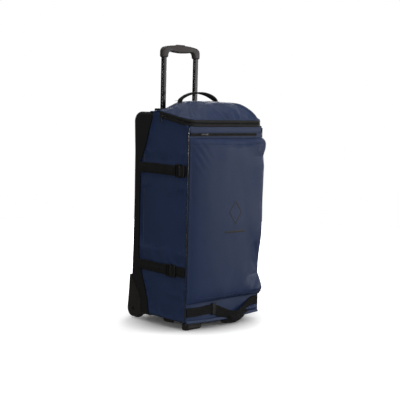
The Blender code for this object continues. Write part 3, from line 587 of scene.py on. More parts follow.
def row_tree(name, shape):
    """Copies of one small shape spaced along a curve. Inputs: spacing, size and finish."""
    tree = bpy.data.node_groups.new(name, "GeometryNodeTree")
    face = tree.interface
    face.new_socket("Geometry", in_out="INPUT", socket_type="NodeSocketGeometry")
    face.new_socket("Spacing", in_out="INPUT", socket_type="NodeSocketFloat").default_value = 0.004
    face.new_socket("Size", in_out="INPUT", socket_type="NodeSocketVector").default_value = (0.001, 0.001, 0.003)
    face.new_socket("Finish", in_out="INPUT", socket_type="NodeSocketMaterial")
    face.new_socket("Geometry", in_out="OUTPUT", socket_type="NodeSocketGeometry")
    make = Tree(tree)
    given = make.add("NodeGroupInput")
    if shape == "stitch":
        unit = make.add("GeometryNodeMeshUVSphere", {"Segments": 6, "Rings": 4, "Radius": 0.5})
    else:
        unit = make.add("GeometryNodeMeshCube", {"Size": (1.0, 1.0, 1.0)})
    points = make.add("GeometryNodeCurveToPoints", {"Curve": given.outputs["Geometry"],
                                                    "Length": given.outputs["Spacing"]}, mode="LENGTH")
    copies = make.add("GeometryNodeInstanceOnPoints", {
        "Points": points.outputs["Points"], "Instance": unit.outputs["Mesh"],
        "Rotation": points.outputs["Rotation"], "Scale": given.outputs["Size"]})
    real = make.add("GeometryNodeRealizeInstances", {"Geometry": copies.outputs["Instances"]})
    painted = make.add("GeometryNodeSetMaterial", {"Geometry": real.outputs["Geometry"],
                                                   "Material": given.outputs["Finish"]})
    out = make.add("NodeGroupOutput")
    tree.links.new(painted.outputs["Geometry"], out.inputs["Geometry"])
    return tree


ROWS = {}


def along(name, paths, shape, spacing, size, finish):
    """One piece: small shapes repeated along one or more paths."""
    if shape not in ROWS:
        ROWS[shape] = row_tree("row_of_" + shape, shape)
    curve = bpy.data.curves.new(name, "CURVE")
    curve.dimensions = "3D"
    curve.twist_mode = "Z_UP"
    for path in paths:
        spline = curve.splines.new("POLY")
        spline.points.add(len(path) - 1)
        for point, place_ in zip(spline.points, path):
            point.co = (*place_, 1.0)
    guide = bpy.data.objects.new(name + "_path", curve)
    bpy.context.scene.collection.objects.link(guide)
    rows = guide.modifiers.new("rows", "NODES")
    rows.node_group = ROWS[shape]
    values = {"Spacing": spacing, "Size": Vector(size), "Finish": FINISH[finish]}
    for item in ROWS[shape].interface.items_tree:
        if item.in_out == "INPUT" and item.name in values:
            rows[item.identifier] = values[item.name]
    bpy.context.view_layer.update()
    graph = bpy.context.evaluated_depsgraph_get()
    mesh = bpy.data.meshes.new_from_object(guide.evaluated_get(graph))
    bpy.data.objects.remove(guide)
    mesh.shade_smooth()
    return new_object(name, mesh, finish)


def stitch_row(name, paths, finish="navy_thread", spacing=0.0046, length=0.0032, thick=0.0009):
    return along(name, paths, "stitch", spacing, (thick, thick, length), finish)


# ---------------------------------------------------------------- settings and operators

class DuffelFabric(bpy.types.PropertyGroup):
    """Colours and surface of the soft parts."""
    navy: bpy.props.FloatVectorProperty(name="Fabric", description="Coated fabric's colour", subtype="COLOR",
                                        default=(0.0165, 0.0350, 0.1000), min=0, max=1)
    webbing: bpy.props.FloatVectorProperty(name="Webbing", description="Straps and handles", subtype="COLOR",
                                           default=(0.0045, 0.0042, 0.0040), min=0, max=1)
    fabric_roughness: bpy.props.FloatProperty(name="Roughness", description="How satin the coating is",
                                              default=0.53, min=0.1, max=1, subtype="FACTOR")
    weave_pitch: bpy.props.FloatProperty(name="Weave pitch", description="Distance between threads",
                                         default=0.0007, min=0.0003, max=0.003, unit="LENGTH", precision=4)
    wrinkle: bpy.props.FloatProperty(name="Slack", description="How much longer the cloth is than its frame",
                                     default=0.022, min=0, max=0.08, subtype="FACTOR")


class DuffelHardware(bpy.types.PropertyGroup):
    """Colours and sizes of the hard parts."""
    shell: bpy.props.FloatVectorProperty(name="Shell", description="Back shell's plastic", subtype="COLOR",
                                         default=(0.0045, 0.0044, 0.0042), min=0, max=1)
    grip: bpy.props.FloatVectorProperty(name="Grip", description="Trolley grip's plastic", subtype="COLOR",
                                        default=(0.0400, 0.0330, 0.0305), min=0, max=1)
    rib_depth: bpy.props.FloatProperty(name="Rib depth", description="Depth of the grooves in the back",
                                       default=0.002, min=0, max=0.003, unit="LENGTH", precision=4)
    rib_count: bpy.props.IntProperty(name="Ribs", description="Grooves moulded in the back", default=7, min=1, max=12)


class DuffelSettings(bpy.types.PropertyGroup):
    """All the duffel's settings."""
    fabric: bpy.props.PointerProperty(type=DuffelFabric)
    hardware: bpy.props.PointerProperty(type=DuffelHardware)


def fabric():
    return bpy.context.scene.duffel.fabric


def hardware():
    return bpy.context.scene.duffel.hardware


class Both:
    """Reads colours from both groups of settings."""

    def __getattr__(self, key):
        group = fabric() if hasattr(fabric(), key) else hardware()
        return getattr(group, key)


class DUFFEL_OT_finishes(bpy.types.Operator):
    """Makes the materials and gives them to the frame's own solids"""
    bl_idname = "duffel.finishes"
    bl_label = "Finishes"

    def execute(self, context):
        make_finishes(Both())
        by_slot = {"navy_fabric": "navy", "webbing": "web", "lining": "lining", "shell_plastic": "shell",
                   "black_plastic": "fittings", "grip_plastic": "grip", "handle_tube": "tube",
                   "guide_aluminium": "aluminium", "steel": "steel", "tyre": "tyre"}
        for obj in NODES.values():
            for held in obj.material_slots:
                key = held.material.name.split(".")[0]
                held.material = FINISH[by_slot.get(key, "fittings")]
        return {"FINISHED"}


# ---------------------------------------------------------------- soft body of the bag

def strap_press(z):
    """0 under a strap, 1 well away from both."""
    return min(smoothstep(WEB_HALF - 0.004, WEB_HALF + 0.050, abs(z - at)) for at in STRAPS.values())


def corner_pinch(sign, z):
    """How far the lower strap draws the front corner in, on the right."""
    return 0.008 * math.exp(-((z - 0.190) / 0.040) ** 2) if sign > 0 else 0.0


def side_rows(sign, columns=44, levels=104):
    """The side's fabric from the foot to the zip: full between the straps, tight at its seams."""
    rows = []
    for j in range(levels + 1):
        t = j / levels
        row = []
        for i in range(columns + 1):
            u = i / columns
            front = FRONT + 0.0008
            bottom = BASE + 0.0075
            z = bottom + t * (TOP - 0.004 - bottom)
            rear = edge_y(z) + 0.0015
            y = front + u * (rear - front)
            under_zip = zip_line(y) + 0.004
            roof = under_zip + (lid_rim(y) - 0.0015 - under_zip) * smoothstep(ZIP_END - 0.001, ZIP_END + 0.007, y)
            z = bottom + t * (roof - bottom)
            rear = edge_y(z) + 0.0015
            y = front + u * (rear - front)
            seam = (4 * u * (1 - u)) ** 0.6 * (4 * t * (1 - t)) ** 0.5
            full = -0.0028 + 0.0060 * seam * strap_press(z) + 0.0022 * smoothstep(0.94, 1.0, t)
            fold = math.sin(34 * (y - FRONT) + 46 * (z - BASE)) * smoothstep(0.30, 0.10, z) * 0.0016
            fold += math.sin(52 * (y - FRONT) - 40 * z) * smoothstep(0.60, 0.70, z) * 0.0012
            row.append((sign * (HALF + full + fold * seam - corner_pinch(sign, z) * (1 - u) ** 6), y, z))
        rows.append(row)
    return rows


def grid_edge(columns, rows):
    return [j * columns + i for j in range(rows) for i in range(columns)
            if i in (0, columns - 1) or j in (0, rows - 1)]


class DUFFEL_OT_sides(bpy.types.Operator):
    """The two fabric sides, puffed out between the straps"""
    bl_idname = "duffel.sides"
    bl_label = "Sides"

    def execute(self, context):
        for side, sign in SIDES:
            rows = side_rows(sign)
            columns, levels = len(rows[0]), len(rows)
            cloth = grid_piece(f"side_fabric_{side}", rows, "navy")
            if sign > 0:
                cloth.data.flip_normals()
            pressed = [j * columns + i for j, row in enumerate(rows) for i, point in enumerate(row)
                       if strap_press(point[2]) < 0.02 and j not in (0, levels - 1)]
            puff(cloth, sorted(set(grid_edge(columns, levels) + pressed)), 1.2, fabric().wrinkle, 0.0045)
            if sign > 0:
                cloth.data.flip_normals()
            thicken(cloth, 0.0018, -sign, 1)
            place(cloth, "bag", "navy_fabric", f"side_panel_{side}")
            x = sign * (HALF + 0.0004)
            edge = [(x, edge_y(z) + 0.0008, z) for z in np.linspace(BASE + 0.020, TOP - 0.018, 90)]
            trim = sweep(f"shell_edge_piping_{side}", edge, round_section(0.0021), (sign, 0, 0), "piping")
            place(trim, "bag", "webbing")
            rows_at = [(sign * (HALF + 0.0012), edge_y(z) - 0.0075, z)
                       for z in np.linspace(BASE + 0.05, TOP - 0.03, 90)]
            place(stitch_row(f"side_rear_stitches_{side}", [rows_at]), "bag", "navy_fabric")
            hem = [(sign * HALF, FRONT + 0.013, z) for z in np.linspace(BASE + 0.02, ZIP_FRONT - 0.012, 60)]
            place(stitch_row(f"side_front_stitches_{side}", [hem]), "bag", "navy_fabric")
            corner = [(sign * (HALF - 0.0008 - corner_pinch(sign, z)), FRONT - 0.0004, z)
                      for z in np.linspace(BASE + 0.014, ZIP_FRONT - 0.003, 70)]
            cord = sweep(f"corner_piping_{side}", corner, round_section(0.0022), (sign, 0, 0), "glossy")
            place(cord, "bag", "webbing")
        return {"FINISHED"}


class DUFFEL_OT_front(bpy.types.Operator):
    """The front's fabric above and below the pocket, with its rolled lip at the foot"""
    bl_idname = "duffel.front"
    bl_label = "Front"

    def execute(self, context):
        half = HALF - 0.0035
        rows = []
        for j in range(91):
            z = BASE + 0.002 + (ZIP_FRONT + 0.003 - BASE - 0.002) * j / 90
            row = []
            for i in range(49):
                u = 2 * i / 48 - 1
                skirt = smoothstep(0.125, 0.07, z) * (1 - u**6)
                out = 0.0012 + 0.0035 * skirt * (1 + 0.35 * math.sin(9 * u + 1.2))
                out += 0.0018 * math.sin(math.pi * smoothstep(0.700, ZIP_FRONT, z)) * (1 - u**4)
                row.append((u * half, FRONT - out, z))
            rows.append(row)
        panel = grid_piece("front_fabric", rows, "navy")
        thicken(panel, 0.0018, -1, 1)
        place(panel, "bag", "navy_fabric", "front_wall")
        lip_z = BASE + 0.008
        lip = [(x, FRONT - 0.007 - 0.002 * math.cos(14 * x), lip_z - 0.004 * math.cos(11 * x))
               for x in np.linspace(-HALF + 0.004, HALF - 0.004, 60)]
        rolled = sweep("bottom_lip", lip, rounded_section(0.012, 0.006, 0.0028), (0, -1, 0.5), "navy")
        place(rolled, "bag", "navy_fabric")
        return {"FINISHED"}


POCKET_LOW = low("front_pocket").z
POCKET_HIGH = high("front_pocket").z
POCKET_PUFF = FRONT - low("front_pocket").y


# How much further than its middle the pocket's right side stands out, by height.
RIGHT_SWELL = [(0.097, 1.02), (0.127, 1.38), (0.155, 0.85), (0.183, 0.32), (0.227, 0.42), (0.268, 0.70),
               (0.308, 0.92), (0.348, 1.06), (0.464, 1.04), (0.560, 1.08), (0.592, 1.12), (0.632, 0.95),
               (0.663, 1.24), (0.690, 1.36), (0.703, 1.20)]


def pocket_depth(x, z):
    """How far the pocket stands out at (x, z): full on the right, and sloping away to the left."""
    half = HALF - 0.003
    u = x / half
    v = 2 * (z - POCKET_LOW) / (POCKET_HIGH - POCKET_LOW) - 1
    right = smoothstep(0.0, 0.5, u)
    across = max(1 - abs(u) ** (2.6 + 8.4 * right), 0.0) ** (0.55 - 0.19 * right)
    upright = max(1 - abs(v) ** 16, 0.0) ** 0.42
    swell = 1 + (between(RIGHT_SWELL, z) - 1) * smoothstep(0.35, 0.95, u)
    return (POCKET_PUFF - 0.003) * across * upright * swell


def pocket_overhang(u, z):
    """How far the stuffed right side bulges out past its own seam."""
    w = min(max((u - 0.80) / 0.20, 0.0), 1.0)
    return 0.010 * math.sin(math.pi * w) * max(between(RIGHT_SWELL, z) - 0.55, -0.25)


def pocket_rows(columns=84, levels=120):
    half = HALF - 0.003
    rows = []
    for j in range(levels + 1):
        t = j / levels
        v = 0.35 * math.sin(math.pi * (t - 0.5)) + 0.65 * (2 * t - 1)
        z = (POCKET_LOW + POCKET_HIGH) / 2 + v * (POCKET_HIGH - POCKET_LOW) / 2
        row = []
        for i in range(columns + 1):
            s = i / columns
            u = 0.45 * math.sin(math.pi * (s - 0.5)) + 0.55 * (2 * s - 1)
            x = u * half
            ripple = noise.noise(Vector((x * 17, z * 9, 3.1))) * 0.0018 * smoothstep(-0.19, 0.02, x)
            corner = smoothstep(0.54, 0.66, z) * smoothstep(-0.07, -0.18, x)
            ripple += corner * 0.0008 * math.sin(190 * (x + 0.8 * z))
            low_right = smoothstep(0.27, 0.12, z) * smoothstep(0.02, 0.17, x)
            ripple += low_right * 0.0026 * math.sin(105 * (x - 0.8 * z))
            depth = pocket_depth(x, z)
            row.append((x + pocket_overhang(u, z), FRONT - 0.0015 - depth + ripple * min(depth / 0.02, 1.0), z))
        rows.append(row)
    return rows


class DUFFEL_OT_pocket(bpy.types.Operator):
    """The big stuffed front pocket, sewn down all round"""
    bl_idname = "duffel.pocket"
    bl_label = "Front pocket"

    def execute(self, context):
        rows = pocket_rows()
        columns, levels = len(rows[0]), len(rows)
        pocket = grid_piece("front_pocket_cloth", rows, "navy")
        slackness = [smoothstep(-0.17, 0.05, point[0]) for row in rows for point in row]
        puff(pocket, grid_edge(columns, levels), 1.6, 0.45 * fabric().wrinkle, 0.0030, shares=slackness)
        surface = np.array([v.co for v in pocket.data.vertices]).reshape(levels, columns, 3)
        thicken(pocket, 0.0022, -1, 1)
        place(pocket, "bag", "navy_fabric", "front_pocket")

        def run(row_from, row_to, lift=0.0006):
            """A line across the pocket's face between two of its levels."""
            path = []
            for i in range(3, columns - 3):
                at = row_from + (row_to - row_from) * i / (columns - 1)
                k = int(at)
                point = surface[k, i] * (1 - (at - k)) + surface[min(k + 1, levels - 1), i] * (at - k)
                path.append((point[0], point[1] - lift, point[2]))
            return path

        upper = levels - 7
        seam = sweep("pocket_top_seam", run(upper, upper, 0.0002), round_section(0.0012, 8), (0, -1, 0), "navy")
        place(seam, "bag", "navy_fabric")
        place(stitch_row("pocket_top_stitches", [run(upper - 2, upper - 2), run(upper - 2.6, upper - 2.6)]),
              "bag", "navy_fabric")
        hem = sweep("pocket_hem", run(6.5, 4.5, 0.0002), round_section(0.0014, 8), (0, -1, 0), "navy")
        place(hem, "bag", "navy_fabric")
        place(stitch_row("pocket_hem_stitches", [run(8.5, 6.5)]), "bag", "navy_fabric")
        return {"FINISHED"}


def lid_rows(columns=76, levels=60):
    rows = []
    for j in range(levels + 1):
        t = j / levels
        y = FRONT + (LID_REAR - FRONT) * (0.30 * (1 - math.cos(math.pi * t)) / 2 + 0.70 * t)
        half = lid_half_width(y) - 0.0015
        row = []
        for i in range(columns + 1):
            s = i / columns
            x = half * (0.5 * math.sin(math.pi * (s - 0.5)) + 0.5 * (2 * s - 1))
            z = lid_height(x, y, 0.004)
            inside = min(1.0, (z - lid_rim(y)) / 0.012) if z > lid_rim(y) else 0.0
            line = (y - FRONT) / (CREST_Y - FRONT)
            ridge_x = 0.176 - 0.125 * min(line, 1.0)
            width = 0.007 if x < 0 else 0.014
            ridge = math.exp(-((abs(x) - ridge_x) / width) ** 2) * smoothstep(1.05, 0.6, line)
            z += inside * (0.0060 if x < 0 else 0.0030) * ridge
            soft = noise.noise(Vector((x * 15, y * 11, 0.4))) * 0.0030
            soft += math.sin(95 * (x + 1.4 * y)) * 0.0011 * smoothstep(-0.02, 0.10, x)
            row.append((x, y, z + soft * inside))
        rows.append(row)
    return rows


class DUFFEL_OT_lid(bpy.types.Operator):
    """The domed lid with its piping and hinge fold"""
    bl_idname = "duffel.lid"
    bl_label = "Lid"

    def execute(self, context):
        rows = lid_rows()
        columns, levels = len(rows[0]), len(rows)
        lid = grid_piece("lid_cloth", rows, "navy")
        puff(lid, grid_edge(columns, levels), 1.2, fabric().wrinkle, 0.0045)
        thicken(lid, 0.0030, -1, 1)
        place(lid, "lid", "navy_fabric", "lid_shell")
        rim = []
        for y in np.linspace(LID_REAR, FRONT, 60):
            rim.append((-lid_half_width(y), y, lid_rim(y)))
        rim += [(x, FRONT - 0.0002, lid_rim(FRONT))
                for x in np.linspace(-HALF + LID_CORNER, HALF - LID_CORNER, 30)][1:-1]
        rim += [(-x, y, z) for x, y, z in reversed(rim[:60])]
        piping = sweep("lid_piping", rim, round_section(0.0022), (0, 0, 1), "navy")
        place(piping, "lid", "navy_fabric")
        strip_low, strip_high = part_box("lid_hinge_strip")
        fold = []
        for z, y in ((TOP + 0.0012, strip_high.y - 0.001), (TOP + 0.002, strip_high.y + 0.003),
                     (lid_rim(LID_REAR) - 0.002, strip_high.y + 0.0035),
                     (lid_rim(LID_REAR) + 0.003, strip_high.y - 0.002)):
            fold.append([(x, y, z) for x in np.linspace(strip_low.x, strip_high.x, 40)])
        hinge = thicken(grid_piece("lid_hinge_fold", fold, "navy"), 0.0014, 1, 2)
        strip_high.y
        strip_high.y
        lid_rim(LID_REAR) + 0.002
        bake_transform(hinge)
        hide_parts("lid_hinge_strip")
        return {"FINISHED"}


# ---------------------------------------------------------------- zips

def band_path(outside=0.0, steps=14):
    """The U of the lid's zip in plan, from the left rear end round the front to the right."""
    x_out, front, corner = HALF + 0.0015 + outside, FRONT - 0.0015 - outside, LID_CORNER + 0.0015 + outside
    half = [(-x_out, y) for y in np.linspace(ZIP_END, front + corner, 30)][:-1]
    half += [(-x_out + corner - corner * math.cos(a), front + corner - corner * math.sin(a))
             for a in np.linspace(0, math.pi / 2, steps)]
    half += [(x, front) for x in np.linspace(-x_out + corner, 0, 20)][1:]
    return half + [(-x, y) for x, y in reversed(half[:-1])]


def band_piece(name, offset, height, bulge):
    """One half of the zip's tape: a band with a soft round outside."""
    path = band_path()
    levels = [i / 6 for i in range(7)]
    rows = []
    for level in levels:
        puffed = bulge * (4 * level * (1 - level)) ** 0.5
        around = band_path(puffed)
        rows.append([(x, y, zip_line(y0) + offset + height * level) for (x, y), (_, y0) in zip(around, path)])
    return thicken(grid_piece(name, rows, "band"), 0.0022, -1, 1)


class DUFFEL_OT_zips(bpy.types.Operator):
    """The lid's zip with its tapes, coil and slider, and the front pocket's zip"""
    bl_idname = "duffel.zips"
    bl_label = "Zips"

    def execute(self, context):
        half = BAND / 2
        place(band_piece("zip_tape_lower", 0.0, half - 0.0012, 0.0022), "bag", "webbing", "zip_band_body")
        place(band_piece("zip_tape_upper", half + 0.0012, half - 0.0012, 0.0022), "lid", "webbing", "zip_band_lid")
        at = [(x, y, zip_line(y) + half) for x, y in band_path(0.0004)]
        lower = [(x, y, z - 0.0012) for x, y, z in at]
        upper = [(x, y, z + 0.0012) for x, y, z in at]
        teeth = (0.0026, 0.0022, 0.0011)
        place(along("zip_coil_lower", [lower], "tooth", 0.0021, teeth, "fittings"), "bag", "black_plastic")
        place(along("zip_coil_upper", [upper], "tooth", 0.0021, teeth, "fittings"), "lid", "black_plastic")
        for name, drop, body in (("zip_lower_stitches", -0.0055, "bag"), ("zip_upper_stitches", 0.0055, "lid")):
            run = [(x, y, z + drop) for (x, y), (_, _, z) in zip(band_path(0.0022), at)]
            place(stitch_row(name, [run], "thread"), body, "webbing")

        slider_low, slider_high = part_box("lid_zip_slider")
        x_in, y, z = slider_high.x, (slider_low.y + slider_high.y) / 2 - 0.0022, zip_line(slider_low.y) + half
        body = block("lid_slider_body", "steel", (x_in - 0.0032, y - 0.006, z - 0.005), (x_in, y + 0.006, z + 0.005),
                     0.0012)
        outline = [(y - 0.003, z + 0.001), (y + 0.003, z + 0.001), (y + 0.0052, z - 0.024), (y + 0.003, z - 0.027),
                   (y - 0.001, z - 0.027), (y - 0.002, z - 0.024)]
        pull = slab("lid_slider_pull", "fittings", outline, x_in - 0.0048, x_in - 0.0026, "X", 0.0009)
        place(merge(body, pull), "lid_slider", "black_plastic", "lid_zip_slider")

        zip_low, zip_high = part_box("pocket_zip_tape")
        z, front = (zip_low.z + zip_high.z) / 2, FRONT - 0.0032
        tape = block("pocket_zip_cloth", "band", (zip_low.x, front - 0.0006, z - 0.0062),
                     (zip_high.x, front + 0.002, z + 0.0062), 0.0008)
        place(tape, "bag", "webbing", "pocket_zip_tape")
        line = [(x, front - 0.0010, z) for x in np.linspace(zip_low.x + 0.002, zip_high.x - 0.002, 80)]
        place(along("pocket_zip_coil", [line], "tooth", 0.0019, (0.0016, 0.0046, 0.0010), "fittings"), "bag",
              "black_plastic")
        flap_rows = []
        for level, out in ((0.0040, 0.0), (0.0066, 0.0016), (0.0095, 0.0012), (0.0110, 0.0)):
            flap_rows.append([(x, front - out, z + level) for x in np.linspace(-HALF + 0.006, HALF - 0.006, 60)])
        flap = thicken(grid_piece("pocket_zip_flap", flap_rows, "navy"), 0.0014, -1, 1)
        place(flap, "bag", "navy_fabric")
        pull_low, pull_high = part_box("pocket_zip_slider")
        y = pull_low.y
        right = pull_high.x
        head = block("pocket_slider_body", "steel", (right - 0.0125, y - 0.0006, z - 0.0045),
                     (right - 0.001, y + 0.0024, z + 0.0045), 0.0013)
        outline = [(right - 0.012, z - 0.0026), (right - 0.010, z + 0.0026), (pull_low.x + 0.003, z + 0.0034),
                   (pull_low.x, z + 0.001), (pull_low.x + 0.001, z - 0.003), (pull_low.x + 0.004, z - 0.0036)]
        tab = slab("pocket_slider_pull", "fittings", outline, y - 0.0014, y + 0.0008, "Y", 0.0008)
        place(merge(head, tab), "pocket_slider", "black_plastic", "pocket_zip_slider")
        return {"FINISHED"}


# ---------------------------------------------------------------- back shell and bezel

FOOT_RADIUS = 0.020
TOP_RADIUS = 0.037
EDGE_RADIUS = 0.012
CHEEK_RADIUS = 0.031


def shell_station(level, inset):
    """The shell's section as (y, z) at a level: under the foot, up the back and over the top."""
    bottom, top = BASE + inset, TOP - inset
    heel = REAR - FOOT_RADIUS
    if level < 0.048:
        t = (level - 0.040) / 0.008
        return FRONT + 0.204 + t * 0.051, bottom
    if level < 0.056:
        t = (level - 0.048) / 0.008
        return FRONT + 0.255 + t * (heel - FRONT - 0.255), bottom
    if level < 0.080:
        turn = math.radians(-90 + 90 * (level - 0.056) / 0.024)
        radius = FOOT_RADIUS - inset
        return heel + radius * math.cos(turn), BASE + FOOT_RADIUS + radius * math.sin(turn)
    if level < 0.680:
        return FRONT + between(BACK, level) - inset, level
    if level < 0.750:
        t = (level - 0.680) / 0.070
        turn, radius = math.pi / 2 * t, TOP_RADIUS - inset
        return REAR - TOP_RADIUS + radius * math.cos(turn), TOP - TOP_RADIUS + radius * math.sin(turn)
    t = (level - 0.750) / 0.024
    return REAR - TOP_RADIUS + t * (FRONT + 0.199 - REAR + TOP_RADIUS), top


def groove(x, level, count, depth):
    """Depth of the grooves moulded in the back at (x, level)."""
    span = 2 * HALF - 0.090
    phase = (x / span + 0.5) * count
    if not 0 < phase < count:
        return 0.0
    line = math.exp(-(((phase % 1) - 0.5) / 0.16) ** 2)
    ends = smoothstep(0.185, 0.215, level) * smoothstep(0.645, 0.610, level)
    return depth * line * ends


def cheek_outline(grow=0.0, steps=24):
    """The wheel housing's outline as (y, z), grown by a distance."""
    radius = CHEEK_RADIUS + grow
    points = []
    for i in range(steps + 1):
        turn = math.radians(225 + 140 * i / steps)
        points.append((WHEEL_Y + radius * math.cos(turn), WHEEL_Z + radius * math.sin(turn)))
    housing_low, housing_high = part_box("wheel_housing_left")
    top, front = housing_high.z, housing_low.y
    knots = [(points[-1][0], points[-1][1], 0), (FRONT + 0.318 + grow, 0.105, 0),
             (FRONT + 0.314 + grow, top - 0.006, 0),
             (FRONT + 0.309, top + grow, 0), (FRONT + 0.287 - grow, 0.136 + grow, 0),
             (FRONT + 0.262 - grow, 0.105 + grow, 0), (front + 0.002 - grow, 0.066, 0), (front - grow, 0.026, 0)]
    return points + [(p.x, p.y) for p in smooth_path(knots, 6)[1:]]


class DUFFEL_OT_shell(bpy.types.Operator):
    """The moulded back shell with its grooves, and the bezel that the tubes pass"""
    bl_idname = "duffel.shell"
    bl_label = "Back shell"

    def execute(self, context):
        levels = list(np.linspace(0.040, 0.080, 22)[:-1]) + list(np.linspace(0.080, 0.680, 90)[:-1])
        levels += list(np.linspace(0.680, 0.750, 16)[:-1]) + list(np.linspace(0.750, 0.774, 5))
        rows = []
        for level in levels:
            outer_y, outer_z = shell_station(level, 0.0)
            inner_y, inner_z = shell_station(level, EDGE_RADIUS)
            edge = edge_y(level)
            half_row = [(HALF, edge + (inner_y - edge) * t, level + (inner_z - level) * t)
                        for t in (0, 0.25, 0.5, 0.75)]
            for i in range(9):
                turn = math.pi / 2 * i / 8
                out = math.sin(turn)
                half_row.append((HALF - EDGE_RADIUS + EDGE_RADIUS * math.cos(turn),
                                 inner_y + (outer_y - inner_y) * out, inner_z + (outer_z - inner_z) * out))
            flat = [(x, outer_y - groove(x, level, hardware().rib_count, hardware().rib_depth), outer_z)
                    for x in np.linspace(HALF - EDGE_RADIUS, EDGE_RADIUS - HALF, 113)[1:-1]]
            rows.append(half_row + flat + [(-x, y, z) for x, y, z in reversed(half_row)])
        shell = thicken(grid_piece("moulded_back", rows, "shell"), 0.003, -1)
        bezel_low, bezel_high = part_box("top_bezel")
        tools = [block("hole", "shell", (bezel_low.x + 0.001, bezel_low.y + 0.001, TOP - 0.03),
                       (bezel_high.x - 0.001, bezel_high.y - 0.001, TOP + 0.03), 0.008)]
        for _, sign in SIDES:
            inner = high("wheel_housing_left").x if sign < 0 else low("wheel_housing_right").x
            tools.append(slab("room", "shell", cheek_outline(0.0008), inner, inner + sign * 0.1, "X"))
        carve(shell, *tools)
        smooth(shell, 45)
        place(shell, "bag", "shell_plastic", "back_shell")

        outline = [(p[0], TUBE_Y + p[1]) for p in rounded_section(bezel_high.x - bezel_low.x,
                                                                  bezel_high.y - bezel_low.y, 0.011, 8)]
        bezel = slab("tube_bezel", "fittings", outline, bezel_low.z, bezel_high.z, "Z", 0.0035, 4, 50)
        wells = []
        for sign in (-1, 1):
            hole = [(sign * TUBE_X + a, TUBE_Y + b) for a, b in rounded_section(0.0226, 0.0136, 0.0052, 6)]
            wells.append(slab("well", "fittings", hole, bezel_low.z - 0.01, bezel_high.z + 0.01, "Z"))
            wide = [(sign * TUBE_X + a, TUBE_Y + b) for a, b in rounded_section(0.030, 0.020, 0.007, 6)]
            wells.append(slab("step", "fittings", wide, bezel_high.z - 0.0022, bezel_high.z + 0.01, "Z"))
        recess = [(a, TUBE_Y + b) for a, b in rounded_section(0.100, 0.016, 0.006, 6)]
        wells.append(slab("recess", "fittings", recess, bezel_high.z - 0.0014, bezel_high.z + 0.01, "Z"))
        carve(bezel, *wells)
        place(smooth(bezel, 30), "bag", "black_plastic", "top_bezel")

        spots = [(sign * 0.104, TUBE_Y, bezel_high.z, "Z") for sign in (-1, 1)]
        place(screws("bezel_screws", spots, 0.0028), "bag", "steel")
        rivets = []
        for z in (0.30, 0.42, 0.54, 0.62):
            rivets += [(sign * (HALF - 0.030), FRONT + between(BACK, z), z, "Y") for sign in (-1, 1)]
        place(screws("back_screws", rivets, 0.0040), "bag", "steel")
        return {"FINISHED"}


